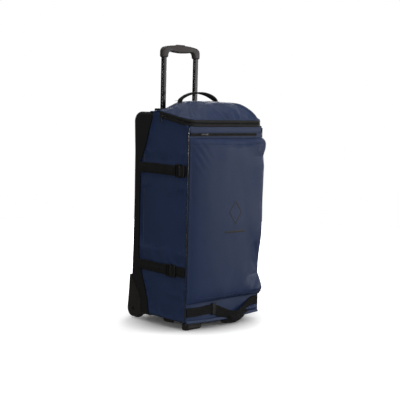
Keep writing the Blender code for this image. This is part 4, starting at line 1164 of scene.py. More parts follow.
def screws(name, spots, radius):
    """Cross-head screws at given spots, each facing along an axis, copied onto points by a node tree."""
    def head(bm):
        bmesh.ops.create_cone(bm, cap_ends=True, segments=20, radius1=radius, radius2=radius * 0.72,
                              depth=radius * 0.45)

    unit = solid_from(name + "_head", "steel", head)
    cuts = []
    for size in ((radius * 1.1, radius * 0.24), (radius * 0.24, radius * 1.1)):
        cuts.append(block("slot", "steel", (-size[0] / 2, -size[1] / 2, 0.0), (size[0] / 2, size[1] / 2, radius)))
    carve(unit, *cuts)
    smooth(unit, 30)
    tree = bpy.data.node_groups.new("heads_on_points", "GeometryNodeTree")
    tree.interface.new_socket("Geometry", in_out="INPUT", socket_type="NodeSocketGeometry")
    tree.interface.new_socket("Head", in_out="INPUT", socket_type="NodeSocketObject")
    tree.interface.new_socket("Finish", in_out="INPUT", socket_type="NodeSocketMaterial")
    tree.interface.new_socket("Geometry", in_out="OUTPUT", socket_type="NodeSocketGeometry")
    make = Tree(tree)
    given = make.add("NodeGroupInput")
    shape = make.add("GeometryNodeObjectInfo", {"Object": given.outputs["Head"]})
    normal = make.add("GeometryNodeInputNormal")
    turn = make.add("FunctionNodeAlignRotationToVector", {"Vector": normal.outputs[0]}, axis="Z")
    points = make.add("GeometryNodeMeshToPoints", {"Mesh": given.outputs["Geometry"]}, mode="FACES")
    turned_to = make.add("GeometryNodeCaptureAttribute", domain="FACE")
    turned_to.capture_items.new("ROTATION", "turn")
    tree.links.new(given.outputs["Geometry"], turned_to.inputs["Geometry"])
    tree.links.new(turn.outputs[0], turned_to.inputs["turn"])
    tree.links.new(turned_to.outputs["Geometry"], points.inputs["Mesh"])
    copies = make.add("GeometryNodeInstanceOnPoints", {"Points": points.outputs["Points"],
                                                       "Instance": shape.outputs["Geometry"],
                                                       "Rotation": turned_to.outputs["turn"]})
    real = make.add("GeometryNodeRealizeInstances", {"Geometry": copies.outputs["Instances"]})
    painted = make.add("GeometryNodeSetMaterial", {"Geometry": real.outputs["Geometry"],
                                                   "Material": given.outputs["Finish"]})
    out = make.add("NodeGroupOutput")
    tree.links.new(painted.outputs["Geometry"], out.inputs["Geometry"])

    mesh = bpy.data.meshes.new(name + "_places")
    bm = bmesh.new()
    for x, y, z, facing in spots:
        first, second = {"Z": ((1, 0, 0), (0, 1, 0)), "Y": ((0, 0, 1), (1, 0, 0)), "X": ((0, 1, 0), (0, 0, 1)),
                         "-X": ((0, 0, 1), (0, 1, 0)), "-Y": ((1, 0, 0), (0, 0, 1))}[facing]
        a, b = Vector(first) * 0.0001, Vector(second) * 0.0001
        centre = Vector((x, y, z))
        bm.faces.new([bm.verts.new(centre + c) for c in (-a - b, a - b, a + b, b - a)])
    bm.to_mesh(mesh)
    bm.free()
    places = bpy.data.objects.new(name + "_places", mesh)
    bpy.context.scene.collection.objects.link(places)
    rows = places.modifiers.new("heads", "NODES")
    rows.node_group = tree
    for item in tree.interface.items_tree:
        if item.in_out == "INPUT" and item.name in ("Head", "Finish"):
            rows[item.identifier] = {"Head": unit, "Finish": FINISH["steel"]}[item.name]
    bpy.context.view_layer.update()
    graph = bpy.context.evaluated_depsgraph_get()
    made = bpy.data.meshes.new_from_object(places.evaluated_get(graph))
    bpy.data.objects.remove(places)
    bpy.data.objects.remove(unit)
    return smooth(new_object(name, made, "steel"), 30)


# ---------------------------------------------------------------- trolley handle

class DUFFEL_OT_trolley(bpy.types.Operator):
    """The telescopic tubes, the grip with its inlay and the release button"""
    bl_idname = "duffel.trolley"
    bl_label = "Trolley handle"

    def execute(self, context):
        for side, sign in SIDES:
            tube_low, tube_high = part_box(f"inner_tube_{side}")
            x = sign * TUBE_X
            width, depth = tube_high.x - tube_low.x, tube_high.y - tube_low.y
            outline = [(x + a, TUBE_Y + b) for a, b in rounded_section(width, depth, 0.0052, 10)]
            tube = slab(f"handle_tube_{side}", "tube", outline, tube_low.z, tube_high.z, "Z")
            bore = [(x + a, TUBE_Y + b) for a, b in rounded_section(width - 0.0024, depth - 0.0024, 0.004, 8)]
            carve(tube, slab("bore", "tube", bore, tube_low.z - 0.01, tube_high.z + 0.01, "Z"))
            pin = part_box(f"lock_pin_{side}")
            pin_z, pin_y = (pin[0].z + pin[1].z) / 2, (pin[0].y + pin[1].y) / 2
            carve(tube, cylinder_x("pin_hole", "tube", 0.0033, x + sign * 0.006, x + sign * 0.016, pin_y, pin_z, 24))
            place(smooth(tube, 30), "handle", "handle_tube", f"inner_tube_{side}")

        grip_low, grip_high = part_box("grip")
        outer, inner = grip_high.x, TUBE_X - 0.015
        under, leg = grip_high.z - 0.031, grip_low.z
        radius = 0.021
        shoulder = grip_high.z - 0.008
        right = [(outer, leg), (outer, shoulder - radius)]
        for i in range(1, 11):
            turn = math.radians(80 * i / 10)
            right.append((outer - radius + radius * math.cos(turn), shoulder - radius + radius * math.sin(turn)))
        right += [(x, grip_high.z - 0.0005 - 0.0078 * (x / 0.084) ** 2) for x in np.linspace(0.070, 0, 12)]
        below = [(x, under + 0.0055 * (x / 0.058) ** 2) for x in np.linspace(0, 0.050, 9)]
        below += [(inner - 0.010, under + 0.0040), (inner - 0.004, under - 0.0005), (inner - 0.0012, under - 0.006),
                  (inner, leg)]
        across = [(-x, z) for x, z in reversed(right[:-1])] + [(-x, z) for x, z in reversed(below[1:])]
        outline = right + across + below
        grip = slab("grip_body", "grip", outline, grip_low.y, grip_high.y, "Y", 0.0068, 5, 50)
        button_low, button_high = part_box("release_button")
        tools = []
        for sign in (-1, 1):
            x = sign * TUBE_X
            hole = [(x + a, TUBE_Y + b) for a, b in rounded_section(0.0226, 0.0136, 0.0052, 6)]
            tools.append(slab("socket", "grip", hole, leg - 0.01, high("inner_tube_left").z + 0.0004, "Z"))
            tools.append(block("riser", "grip", (x - 0.004, TUBE_Y - 0.0045, high("inner_tube_left").z - 0.01),
                               (x + 0.004, TUBE_Y + 0.0045, button_low.z + 0.0045)))
        room = TUBE_X + 0.0036
        tools.append(block("channel", "grip", (-room, TUBE_Y - 0.0046, button_low.z - 0.0046),
                           (room, TUBE_Y + 0.0046, button_low.z + 0.0045)))
        cap = 0.0214
        pocket = [(a, TUBE_Y + b) for a, b in rounded_section(2 * cap + 0.0010, 0.0110, 0.0035, 6)]
        tools.append(slab("pocket", "grip", pocket, button_low.z, grip_high.z + 0.01, "Z"))
        carve(grip, *tools)
        place(smooth(grip, 40), "handle", "grip_plastic", "grip")

        for face, y in (("front", grip_low.y), ("rear", grip_high.y)):
            out = -1 if face == "front" else 1
            upper = [(x, grip_high.z - 0.0080 - 0.006 * (x / 0.084) ** 2) for x in np.linspace(-0.050, 0.050, 24)]
            lower = [(x, under + 0.0058 + 0.0055 * (x / 0.058) ** 2) for x in np.linspace(0.046, -0.046, 24)]
            inlay = slab(f"grip_inlay_{face}", "grip_panel", upper + lower, y - out * 0.0006, y + out * 0.0005, "Y",
                         0.0004, 2, 60)
            place(inlay, "handle", "grip_plastic")

        cap_low = button_high.z - 0.0095
        crown = [(a, TUBE_Y + b) for a, b in rounded_section(2 * cap - 0.0004, 0.0100, 0.0032, 8)]
        button = slab("button_cap", "grip_panel", crown, cap_low, button_high.z, "Z", 0.0014, 4, 50)
        post = block("post", "grip_panel", (-0.010, TUBE_Y - 0.003, button_low.z + 0.002),
                     (0.010, TUBE_Y + 0.003, cap_low + 0.001))
        yoke = block("yoke", "grip_panel", (button_low.x, TUBE_Y - 0.004, button_low.z),
                     (button_high.x, TUBE_Y + 0.004, button_low.z + 0.004), 0.0006)
        place(merge(button, post, yoke), "button", "black_plastic", "release_button")
        return {"FINISHED"}


# ---------------------------------------------------------------- wheels

class DUFFEL_OT_wheels(bpy.types.Operator):
    """The two wheels with their housings and axle screws"""
    bl_idname = "duffel.wheels"
    bl_label = "Wheels"

    def execute(self, context):
        for side, sign in SIDES:
            x = middle(f"tyre_{side}").x
            half = (high(f"tyre_{side}").x - low(f"tyre_{side}").x) / 2
            radius = high(f"tyre_{side}").z - WHEEL_Z
            bore = high(f"hub_{side}").z - WHEEL_Z
            profile = [(half - 0.001, bore + 0.0003), (half, bore + 0.002), (half, bore + 0.004),
                       (half - 0.0016, radius - 0.0042),
                       (half - 0.0040, radius - 0.0013), (half - 0.0075, radius)]
            tread = [(0.0042, radius), (0.0038, radius - 0.0012), (0.0026, radius - 0.0012), (0.0022, radius)]
            profile += tread + [(-a, r) for a, r in reversed(tread)] + [(-a, r) for a, r in reversed(profile)]
            tyre = turned(f"tyre_tread_{side}", "tyre", profile, x, WHEEL_Y, WHEEL_Z)
            place(smooth(tyre, 35), f"wheel_{side}", "tyre", f"tyre_{side}")

            seat = high(f"bearing_{side}_outer").z - WHEEL_Z + 0.0003
            width = half - 0.001
            rim = [(width, seat), (width, seat + 0.003), (width - 0.0035, seat + 0.005),
                   (width - 0.0035, bore - 0.004),
                   (width, bore - 0.0022), (width, bore)]
            web = [(width - 0.0072, seat), (width - 0.0072, 0.0062)]
            mirrored = [(-a, r) for a, r in reversed(rim)] + [(-a, r) for a, r in web]
            ring = rim + mirrored + [(a, r) for a, r in reversed(web)]
            hub = turned(f"wheel_hub_{side}", "fittings", ring, x, WHEEL_Y, WHEEL_Z)
            tools = []
            for i in range(5):
                turn = math.tau * i / 5
                mid = (seat + bore) / 2 + 0.0005
                tools.append(cylinder_x("light", "fittings", 0.0036, x - 0.02, x + 0.02,
                                        WHEEL_Y + mid * math.cos(turn), WHEEL_Z + mid * math.sin(turn), 20))
            carve(hub, *tools)
            place(smooth(hub, 35), f"wheel_{side}", "black_plastic", f"hub_{side}")

            outer = high(f"wheel_housing_{side}").x if sign > 0 else low(f"wheel_housing_{side}").x
            inner = low(f"wheel_housing_{side}").x if sign > 0 else high(f"wheel_housing_{side}").x
            housing = slab(f"wheel_guard_{side}", "housing", cheek_outline(), min(inner, outer), max(inner, outer),
                                   "X",
                           0.0042, 4, 60)
            room = half + 0.0021
            cuts = [cylinder_x("room", "housing", radius + 0.0036, x - room, x + room, WHEEL_Y, WHEEL_Z, 64),
                    cylinder_x("bore", "housing", 0.0043, inner - sign * 0.03, outer + sign * 0.03, WHEEL_Y, WHEEL_Z,
                               24)]
            carve(housing, *cuts)
            place(smooth(housing, 35), "bag", "black_plastic", f"wheel_housing_{side}")
            rim_path = [(outer + sign * 0.0001, y, z) for y, z in cheek_outline(-0.0062)]
            line = sweep(f"guard_rim_{side}", rim_path, round_section(0.0009, 8), (sign, 0, 0), "housing",
                         closed=True)
            place(line, "bag", "black_plastic")

            axle_low, axle_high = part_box(f"axle_{side}")
            head_at = outer + sign * 0.0003
            reach = axle_high.x if sign > 0 else axle_low.x
            shank = cylinder_x(f"axle_screw_{side}", "steel", 0.0039, inner + sign * 0.002, head_at + sign * 0.0002,
                               WHEEL_Y, WHEEL_Z, 32)
            head = cylinder_x("head", "steel", 0.0066, head_at, reach, WHEEL_Y, WHEEL_Z, 40, 0.0006)
            hexagon = [(WHEEL_Y + 0.0026 * math.cos(math.tau * i / 6), WHEEL_Z + 0.0026 * math.sin(math.tau * i / 6))
                       for i in range(6)]
            carve(head, slab("hexagon", "steel", hexagon, reach - sign * 0.0014, reach + sign * 0.01, "X"))
            place(smooth(merge(head, shank), 30), "bag", "steel", f"axle_{side}")
            spots = [(outer, WHEEL_Y - 0.022, 0.088, "X" if sign > 0 else "-X"),
                     (outer, WHEEL_Y + 0.016, 0.140, "X" if sign > 0 else "-X")]
            place(screws(f"guard_screws_{side}", spots, 0.0030), "bag", "steel")
        return {"FINISHED"}


# ---------------------------------------------------------------- straps and buckles

def bars(name, at_y, x, z, sign, finish, count, pitch, tall, deep, wide):
    """Upright bars side by side on a strap or a buckle."""
    paths = [[(x, at_y + i * pitch, z - tall / 2), (x, at_y + i * pitch, z + tall / 2)] for i in range(count)]
    parts = [sweep(f"{name}_{i}", path, rounded_section(wide, deep, min(wide, deep) * 0.42, 3), (sign, 0, 0), finish)
             for i, path in enumerate(paths)]
    return parts


class DUFFEL_OT_straps(bpy.types.Operator):
    """The side straps with their loops, and the side-release buckles"""
    bl_idname = "duffel.straps"
    bl_label = "Side straps"

    def execute(self, context):
        for level in STRAPS:
            for side, sign in SIDES:
                self.strap(level, side, sign)
        return {"FINISHED"}

    def strap(self, level, side, sign):
        z = STRAPS[level]
        web_low, web_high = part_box(f"strap_web_{level}_{side}")
        prong_low, prong_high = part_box(f"buckle_prong_{level}_{side}")
        socket_low, socket_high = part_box(f"buckle_socket_{level}_{side}")
        near = web_low.x if sign > 0 else web_high.x
        rear, front = web_high.y, web_low.y
        length = rear - front
        path = []
        for t in np.linspace(0, 1, 60):
            y = rear - t * (length - 0.0004)
            lift = 0.0012 + 0.0016 * math.sin(math.pi * t) + 0.0005 * math.sin(21 * t)
            path.append((near + sign * lift, y, z + 0.0016 * math.sin(math.pi * t * 1.1 + 0.3)))
        web = sweep(f"strap_{level}_{side}", path, rounded_section(2 * WEB_HALF, 0.0018, 0.0008, 3), (sign, 0, 0),
                    "web")
        loops = []
        for i in range(int((length - 0.02) / LADDER_PITCH)):
            start = rear - 0.016 - i * LADDER_PITCH
            for y in (start, start - LADDER_GAP):
                t = (rear - y) / length
                lift = 0.0012 + 0.0016 * math.sin(math.pi * t) + 0.0005 * math.sin(21 * t) + 0.0012
                x, sway = near + sign * lift, 0.0016 * math.sin(math.pi * t * 1.1 + 0.3)
                loops.append([(x, y, z + sway - WEB_HALF + 0.003), (x, y, z + sway + WEB_HALF - 0.003)])
        tacks = along(f"strap_tacks_{level}_{side}", loops, "stitch", 0.0018, (0.0014, 0.0008, 0.0018), "thread")
        band_path_ = [(p[0] + sign * 0.0013, p[1], p[2]) for p in path[3:-2]]
        over = sweep(f"strap_ladder_{level}_{side}", band_path_, rounded_section(1.24 * WEB_HALF, 0.0015, 0.0007, 3),
                     (sign, 0, 0), "web")
        for obj, slot in ((web, "webbing"), (over, "webbing"), (tacks, "webbing")):
            place(obj, "bag", slot)
            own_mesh(obj)
        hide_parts(f"strap_web_{level}_{side}")

        outer = socket_high.x if sign > 0 else socket_low.x
        inner = socket_low.x if sign > 0 else socket_high.x
        deep = (socket_high.y - socket_low.y)
        tall = socket_high.z - socket_low.z
        centre_y = (socket_high.y + socket_low.y) / 2
        outline = [(centre_y + a, z + b) for a, b in rounded_section(deep, tall, 0.006, 6)]
        socket = slab(f"buckle_body_{level}_{side}", "fittings", outline, min(inner, outer), max(inner, outer), "X",
                      0.0020, 4, 50)
        middle_x = (inner + outer) / 2
        tools = [block("mouth", "fittings", (middle_x - 0.0023, socket_high.y - 0.0200, z - 0.0182),
                       (middle_x + 0.0023, socket_high.y + 0.01, z + 0.0182))]
        for end in (-1, 1):
            tools.append(block("window", "fittings",
                               (inner - sign * 0.002, centre_y - 0.006, z + end * (tall / 2 - 0.0045)),
                               (outer + sign * 0.002, centre_y + 0.007, z + end * (tall / 2 + 0.01))))
        carve(socket, *tools)
        grooves = bars(f"socket_bar_{level}_{side}", centre_y - 0.006, outer + sign * 0.0002, z, sign, "fittings", 3,
                       0.0060, tall - 0.016, 0.0016, 0.0022)
        place(smooth(merge(socket, *grooves), 35), "bag", "black_plastic", f"buckle_socket_{level}_{side}")

        y0, y1 = socket_high.y + 0.0003, prong_high.y
        outline = [((y0 + y1) / 2 + a, z + b) for a, b in rounded_section(y1 - y0, tall, 0.005, 6)]
        prong = slab(f"buckle_clip_{level}_{side}", "fittings", outline, min(inner, outer), max(inner, outer), "X",
                     0.0018, 4, 50)
        slots = []
        for start in (0.0075, 0.0165):
            slots.append(block("slot", "fittings", (inner - sign * 0.002, y0 + start, z - WEB_HALF - 0.0006),
                               (outer + sign * 0.002, y0 + start + 0.0052, z + WEB_HALF + 0.0006), 0.0008))
        carve(prong, *slots)
        arms = []
        for offset, arm in ((-0.0145, 0.0055), (0.0, 0.0070), (0.0145, 0.0055)):
            arms.append(block("arm", "fittings", (middle_x - 0.0018, prong_low.y, z + offset - arm / 2),
                              (middle_x + 0.0018, y0 + 0.003, z + offset + arm / 2), 0.0010))
        arms.append(block("bridge", "fittings", (middle_x - 0.0017, y0 - 0.0045, z - 0.0172),
                          (middle_x + 0.0017, y0 + 0.002, z + 0.0172), 0.0006))
        threaded = [(middle_x + sign * lift, y0 + along_y, z) for along_y, lift in
                    ((0.0082, -0.0026), (0.0118, 0.0012), (0.0150, 0.0030), (0.0186, 0.0012), (0.0222, -0.0020),
                     (y1 - y0 - 0.0004, -0.0034))]
        woven = sweep("woven", smooth_path(threaded, 5), rounded_section(2 * WEB_HALF - 0.001, 0.0016, 0.0007, 3),
                      (sign, 0, 0), "web")
        clip = merge(prong, *arms)
        place(smooth(clip, 35), f"strap_{level}_{side}", "black_plastic", f"buckle_prong_{level}_{side}")
        woven.name = f"strap_end_{level}_{side}"
        place(woven, f"strap_{level}_{side}", "webbing")

        anchor = [(near + sign * 0.0012, y, z) for y in np.linspace(FRONT + 0.004, socket_low.y + 0.004, 10)]
        stub = sweep(f"strap_anchor_{level}_{side}", anchor, rounded_section(2 * WEB_HALF, 0.0018, 0.0008, 3),
                     (sign, 0, 0), "web")
        place(stub, "bag", "webbing")


# ---------------------------------------------------------------- carrying handles

def haul_height(x, reach, rise, seat):
    if abs(x) >= reach:
        return lid_height(x, CREST_Y) + seat
    return lid_height(reach, CREST_Y) + seat + rise * (1 - (x / reach) ** 2) ** 0.75


# Where the lower handle runs through its keeper.
KEEPER_X = -0.050


class DUFFEL_OT_handles(bpy.types.Operator):
    """The padded haul handle on the lid and the strap across the foot of the front"""
    bl_idname = "duffel.handles"
    bl_label = "Carrying handles"

    def execute(self, context):
        handle_high = high("haul_handle")
        reach, end = 0.094, handle_high.x
        rise, seat = 0.032, 0.0020
        xs = list(np.linspace(-end, -reach, 6)[:-1]) + list(np.linspace(-reach, reach, 61)) + list(np.linspace(reach,
                                                                                                               end,
                                                                                                               6)[1:])
        path = [(x, CREST_Y, haul_height(x, reach, rise, seat)) for x in xs]
        widths = []
        for x in xs:
            folded = smoothstep(-0.092, -0.070, x) * smoothstep(0.010, -0.030, x)
            widths.append((1.0 - 0.42 * folded, 1.0 + 1.9 * folded))
        web = sweep("haul_webbing", path, rounded_section(0.0255, 0.0026, 0.0011, 3), (0, 0, 1), "web", widths)
        place(web, "lid", "webbing", "haul_handle")
        sleeve_x = np.linspace(-0.012, 0.096, 44)
        sleeve = [(x, CREST_Y, haul_height(x, reach, rise, seat) - 0.0002) for x in sleeve_x]
        swell = []
        for i in range(44):
            t = i / 43
            edge = min(1.0, math.sin(math.pi * min(max(t, 0.0), 1.0)) ** 0.35 + 0.04)
            swell.append((0.55 + 0.45 * edge, edge * (0.90 + 0.62 * t ** 3)))
        pad = sweep("haul_pad", sleeve, rounded_section(0.030, 0.0098, 0.0046, 5), (0, 0, 1), "piping", swell)
        place(pad, "lid", "webbing")
        tacks = []
        for sign in (-1, 1):
            for x in (reach + 0.005, reach + 0.0115, reach + 0.018):
                top = haul_height(x, reach, rise, seat) + 0.0015
                tacks.append([(sign * x, CREST_Y - 0.010, top), (sign * x, CREST_Y + 0.010, top)])
        place(stitch_row("haul_tacks", tacks, "thread", 0.0026, 0.0020, 0.0010), "lid", "webbing")

        base_low, base_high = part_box("base_handle")
        half = 0.017
        left, right = base_low.x, base_high.x
        sewn_y = FRONT - 0.0038
        path, outs, spread = [], [], []
        for t in np.linspace(0, 1, 90):
            x = left + (right - left) * t
            share = min(max((x + 0.050) / 0.210, 0.0), 1.0)
            droop = math.sin(math.pi * share) ** 1.5
            wider = 1 + 0.50 * droop
            z = 0.068 + 0.008 * share + (half * wider + 0.0016 - 0.072) * droop
            spread.append((wider, 1.0))
            out = 0.012 * droop + 0.0022 * smoothstep(0.02, 0.0, abs(x - KEEPER_X))
            path.append((x, sewn_y - out, z + 0.0010 * math.sin(60 * x) * (1 - droop)))
            outs.append((0, -1, -0.35 * droop))
        strap = sweep("foot_strap", path, rounded_section(2 * half, 0.0040, 0.0016, 3), outs, "web", spread)
        place(strap, "bag", "webbing", "base_handle")
        ridge = [(x, y - 0.0020, z) for x, y, z in path[2:-2]]
        for offset in (-0.0105, 0.0105):
            line = [(x, y - 0.0003, z + offset) for x, y, z in ridge]
            place(stitch_row(f"foot_strap_stitches_{'low' if offset < 0 else 'high'}", [line], "thread", 0.0040,
                             0.0028),
                  "bag", "webbing")
        padding = [p for p in path if p[0] > 0.020]
        cover = sweep("foot_strap_cover", [(x, y - 0.0016, z + 0.003) for x, y, z in padding],
                      rounded_section(0.024, 0.0060, 0.0028, 5),
                      (0, -1, 0), "piping", [(min(1.0, 0.3 + i * 0.2), 1.0) for i in range(len(padding))])
        place(cover, "bag", "webbing")
        keeper = block("strap_keeper", "fittings", (KEEPER_X - 0.009, sewn_y - 0.0060, 0.046),
                       (KEEPER_X + 0.009, sewn_y + 0.002, 0.090), 0.002)
        place(keeper, "bag", "black_plastic")
        patch = block("strap_tab", "band", (KEEPER_X - 0.014, sewn_y - 0.0030, 0.050),
                      (KEEPER_X - 0.0085, sewn_y + 0.002, 0.086), 0.0012)
        place(patch, "bag", "webbing")
        fold_rows = []
        for j in range(13):
            t = j / 12
            row = []
            for x in np.linspace(0.088, HALF - 0.003, 34):
                s = (x - 0.088) / (HALF - 0.091)
                out = 0.014 * math.sin(math.pi * t) ** 0.7 * smoothstep(0.0, 0.25, s) * (1 - s**5) ** 0.5
                row.append((x, FRONT - 0.0012 - out - 0.001 * math.sin(38 * s + 5 * t),
                            0.034 + 0.026 * t + 0.008 * (1 - s) * (1 - t)))
            fold_rows.append(row)
        fold = thicken(grid_piece("corner_fold", fold_rows, "navy"), 0.0016, -1, 1)
        place(fold, "bag", "navy_fabric")
        return {"FINISHED"}


# ---------------------------------------------------------------- feet and inside

class DUFFEL_OT_feet(bpy.types.Operator):
    """The front feet with their ribs, the skids and the tray above them"""
    bl_idname = "duffel.feet"
    bl_label = "Feet"

    def execute(self, context):
        for side, _ in SIDES:
            for kind in ("front_foot", "base_skid"):
                foot_low, foot_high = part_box(f"{kind}_{side}")
                centre = (foot_low + foot_high) / 2
                size = foot_high - foot_low
                round_corner = min(size.x, size.y) * 0.49
                outline = [(centre.x + a, centre.y + b) for a, b in rounded_section(size.x, size.y, round_corner, 8)]
                rings = 9
                soft = 0.0085 if kind == "front_foot" else 0.0045
                body = slab(f"{kind}_moulding_{side}", "housing", outline, foot_low.z, foot_high.z, "Z", soft, 6, 50)
                ribs = []
                for i in range(rings):
                    z = foot_low.z + soft + 0.0005 + (foot_high.z - foot_low.z - 2 * soft - 0.001) * i / (rings - 1)
                    ring = [(centre.x + a, centre.y + b, z) for a, b in
                            rounded_section(size.x - 0.0006, size.y - 0.0006, round_corner, 8)]
                    ribs.append(sweep("rib", ring, round_section(0.0007, 6), (0, 0, 1), "housing", closed=True))
                place(smooth(merge(body, *ribs), 40), "bag", "black_plastic", f"{kind}_{side}")
        tray_low, tray_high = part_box("base_tray")
        tray = block("foot_tray", "fittings", tray_low, tray_high, 0.0010, 2)
        place(tray, "bag", "black_plastic", "base_tray")
        return {"FINISHED"}


class DUFFEL_OT_lining(bpy.types.Operator):
    """The divider between the main room and the handle's guides, and its seams"""
    bl_idname = "duffel.lining"
    bl_label = "Lining"

    def execute(self, context):
        panel_low, panel_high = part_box("liner_panel")
        rows = []
        for z in np.linspace(panel_low.z, panel_high.z, 60):
            rows.append([(x, panel_low.y + 0.0005 + 0.0012 * math.sin(14 * x) * math.sin(9 * z), z)
                         for x in np.linspace(panel_low.x, panel_high.x, 40)])
        cloth = thicken(grid_piece("lining_panel", rows, "lining"), 0.0014, 1, 0)
        place(cloth, "bag", "lining", "liner_panel")
        edges = [[(sign * (panel_high.x - 0.008), panel_low.y - 0.0006, z)
                  for z in np.linspace(panel_low.z + 0.01, panel_high.z - 0.01, 60)]
                 for sign in (-1, 1)]
        place(stitch_row("lining_stitches", edges, "thread"), "bag", "lining")
        return {"FINISHED"}


EMBLEM_AT = (0.022, 0.428)
EMBLEM_SIZE = 0.042


class DUFFEL_OT_emblem(bpy.types.Operator):
    """A plain tonal lozenge and bar printed on the pocket, with no lettering"""
    bl_idname = "duffel.emblem"
    bl_label = "Emblem"

    def execute(self, context):
        (x0, z0), size = EMBLEM_AT, EMBLEM_SIZE
        lozenge = [(x0, z0 + size), (x0 + size * 0.72, z0), (x0, z0 - size), (x0 - size * 0.72, z0)]
        paths = []
        for a, b in zip(lozenge, lozenge[1:] + lozenge[:1]):
            paths += [(a[0] + (b[0] - a[0]) * i / 8, a[1] + (b[1] - a[1]) * i / 8) for i in range(8)]
        self.printed("print_lozenge", paths, 0.0022, context, True)
        bar = [(x0 - 0.052 + 0.104 * i / 16, z0 - size - 0.030) for i in range(17)]
        self.printed("print_bar", bar, 0.0038, context, False)
        return {"FINISHED"}

    def printed(self, name, points, width, context, closed):
        """A thin line laid on the pocket's cloth."""
        cloth = bpy.data.objects["front_pocket_cloth"]
        context.view_layer.update()
        laid = []
        for x, z in points:
            hit, at, _, _ = cloth.ray_cast(Vector((x, FRONT - 0.2, z)), Vector((0, 1, 0)))
            laid.append((x, (at.y if hit else FRONT - 0.03) - 0.0001, z))
        line = sweep(name, laid, rounded_section(2 * width, 0.0006, 0.00025, 2), (0, -1, 0), "emblem", closed=closed)
        place(line, "bag", "navy_fabric")


# ---------------------------------------------------------------- floor, light and camera

CAMERA_AT = (-2.5078, -2.6659, 0.8194)
CAMERA_LOOKS_AT = (0.00994, -0.00335, 0.45775)
CAMERA_LENS = 86.6
CAMERA_ROLL = math.radians(1.39)
FLOOR_RADIUS = 3.2
FLOOR_COLOUR = (0.93, 0.93, 0.93, 1.0)
# Half sizes of the bag's footprint, which the floor's painted shadow surrounds.
PAINTED_SHADOW_FOOTPRINT = (0.19, 0.16)
# The floor's painted glow beside the bag and further off, which leaves a painted shadow round the bag's footprint,
# and the room's light from below and from above.
PAINTED_GLOW_NEAR_BAG = 0.55
PAINTED_GLOW_FAR = 0.6
AMBIENT = (0.13, 0.40)
# Each softbox's name, place, aim, size and watts.
SOFTBOXES = (("key_light", (2.45, -1.95, 0.9), (0.05, -0.1, 0.45), (1.3, 2.4), 38),
             ("top_light", (0.1, 0.1, 3.0), (0.0, 0.0, 0.6), (2.2, 2.2), 19),
             ("back_light", (2.3, 2.3, 1.4), (0.0, 0.1, 0.5), (1.0, 2.0), 40),
             ("side_light", (3.2, 0.6, 1.2), (0.1, 0.0, 0.5), (1.2, 1.8), 16),
             ("tube_light", (-2.50, -2.50, 0.80), (0.0, 0.1, 0.80), (0.10, 0.90), 26))


def softbox(name, at, towards, size, power):
    lamp = bpy.data.lights.new(name, "AREA")
    lamp.shape = "RECTANGLE"
    lamp.size, lamp.size_y = size
    lamp.energy = power
    obj = bpy.data.objects.new(name, lamp)
    bpy.context.scene.collection.objects.link(obj)
    obj.location = at
    obj.rotation_mode = "QUATERNION"
    obj.rotation_quaternion = (Vector(towards) - Vector(at)).to_track_quat("-Z", "Y")
    return obj


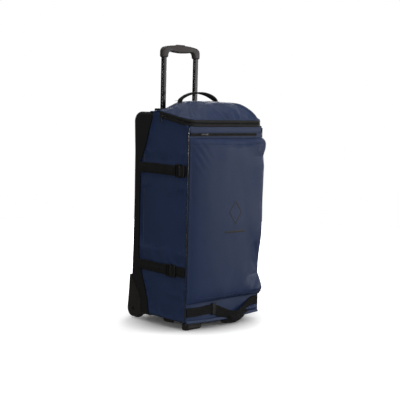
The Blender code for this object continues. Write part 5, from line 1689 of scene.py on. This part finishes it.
class DUFFEL_OT_stage(bpy.types.Operator):
    """The pale floor with a painted glow that leaves a painted shadow round the bag, soft studio lights and camera"""
    bl_idname = "duffel.stage"
    bl_label = "Stage"

    def execute(self, context):
        scene = context.scene
        mesh = bpy.data.meshes.new("studio_floor")
        bm = bmesh.new()
        bmesh.ops.create_circle(bm, cap_ends=True, segments=96, radius=FLOOR_RADIUS)
        bm.to_mesh(mesh)
        bm.free()
        floor = bpy.data.objects.new("studio_floor", mesh)
        scene.collection.objects.link(floor)
        pale, tree, shader, where = start_material("pale_floor", 0.9, Specular_IOR_Level=0.0)
        shader.inputs["Base Color"].default_value = FLOOR_COLOUR
        shader.inputs["Emission Color"].default_value = (1.0, 1.0, 1.0, 1.0)
        # Painted shadow: the floor's emission is zero on the bag's footprint and grows with distance from it, so the
        # floor stays darker close round the bag.
        spread = tree.add("ShaderNodeVectorMath",
                          {0: where.outputs["Object"], 1: (1 / PAINTED_SHADOW_FOOTPRINT[0], 1 / PAINTED_SHADOW_FOOTPRINT[1], 1.0)},
                          operation="MULTIPLY").outputs["Vector"]
        away = tree.add("ShaderNodeVectorMath", {0: spread}, operation="LENGTH").outputs["Value"]
        painted_glow = tree.sum(ranged(tree, away, 1.0, 1.7, 0.0, PAINTED_GLOW_NEAR_BAG), ranged(tree, away, 1.7, 6.0, 0.0, PAINTED_GLOW_FAR))
        tree.tree.links.new(painted_glow, shader.inputs["Emission Strength"])
        mesh.materials.append(pale)
        floor.visible_glossy = floor.visible_diffuse = floor.visible_shadow = False

        world = scene.world or bpy.data.worlds.new("studio")
        scene.world = world
        world.use_nodes = True
        room = Tree(world.node_tree)
        behind = world.node_tree.nodes["Background"]
        direction = room.add("ShaderNodeTexCoord").outputs["Generated"]
        upward = room.add("ShaderNodeSeparateXYZ", {0: direction}).outputs["Z"]
        ambient = ranged(room, upward, 0.0, 1.0, AMBIENT[0], AMBIENT[1])
        seen = room.add("ShaderNodeLightPath").outputs["Is Camera Ray"]
        strength = room.sum(ambient, seen, "MAXIMUM")
        behind.inputs["Color"].default_value = (1.0, 1.0, 1.0, 1.0)
        world.node_tree.links.new(strength, behind.inputs["Strength"])
        for name, at, towards, size, power in SOFTBOXES:
            softbox(name, at, towards, size, power)

        lens = bpy.data.cameras.new("camera")
        lens.lens = CAMERA_LENS
        camera = bpy.data.objects.new("camera", lens)
        scene.collection.objects.link(camera)
        camera.location = CAMERA_AT
        facing = (Vector(CAMERA_LOOKS_AT) - Vector(CAMERA_AT)).to_track_quat("-Z", "Y")
        camera.rotation_mode = "QUATERNION"
        camera.rotation_quaternion = facing @ Matrix.Rotation(CAMERA_ROLL, 3, "Z").to_quaternion()
        scene.camera = camera
        scene.view_settings.view_transform = "Standard"
        return {"FINISHED"}


STEPS = ("finishes", "sides", "front", "pocket", "lid", "zips", "shell", "trolley", "wheels", "straps", "handles",
         "feet",
         "lining", "emblem", "stage")


class DUFFEL_PT_parts(bpy.types.Panel):
    """The duffel's parts and settings"""
    bl_idname = "DUFFEL_PT_parts"
    bl_label = "Wheeled duffel"
    bl_space_type = "VIEW_3D"
    bl_region_type = "UI"
    bl_category = "Duffel"

    def draw(self, context):
        for group in (context.scene.duffel.fabric, context.scene.duffel.hardware):
            for key in group.__annotations__:
                self.layout.prop(group, key)
        for step in STEPS:
            self.layout.operator("duffel." + step)


CLASSES = (DuffelFabric, DuffelHardware, DuffelSettings, DUFFEL_OT_finishes, DUFFEL_OT_sides, DUFFEL_OT_front,
           DUFFEL_OT_pocket, DUFFEL_OT_lid, DUFFEL_OT_zips, DUFFEL_OT_shell, DUFFEL_OT_trolley, DUFFEL_OT_wheels,
           DUFFEL_OT_straps, DUFFEL_OT_handles, DUFFEL_OT_feet, DUFFEL_OT_lining, DUFFEL_OT_emblem, DUFFEL_OT_stage,
           DUFFEL_PT_parts)


def register():
    for cls in CLASSES:
        bpy.utils.register_class(cls)
    bpy.types.Scene.duffel = bpy.props.PointerProperty(type=DuffelSettings)


def unregister():
    del bpy.types.Scene.duffel
    for cls in reversed(CLASSES):
        bpy.utils.unregister_class(cls)


def main():
    register()
    for step in STEPS:
        getattr(bpy.ops.duffel, step)()


if __name__ == "__main__":
    main()
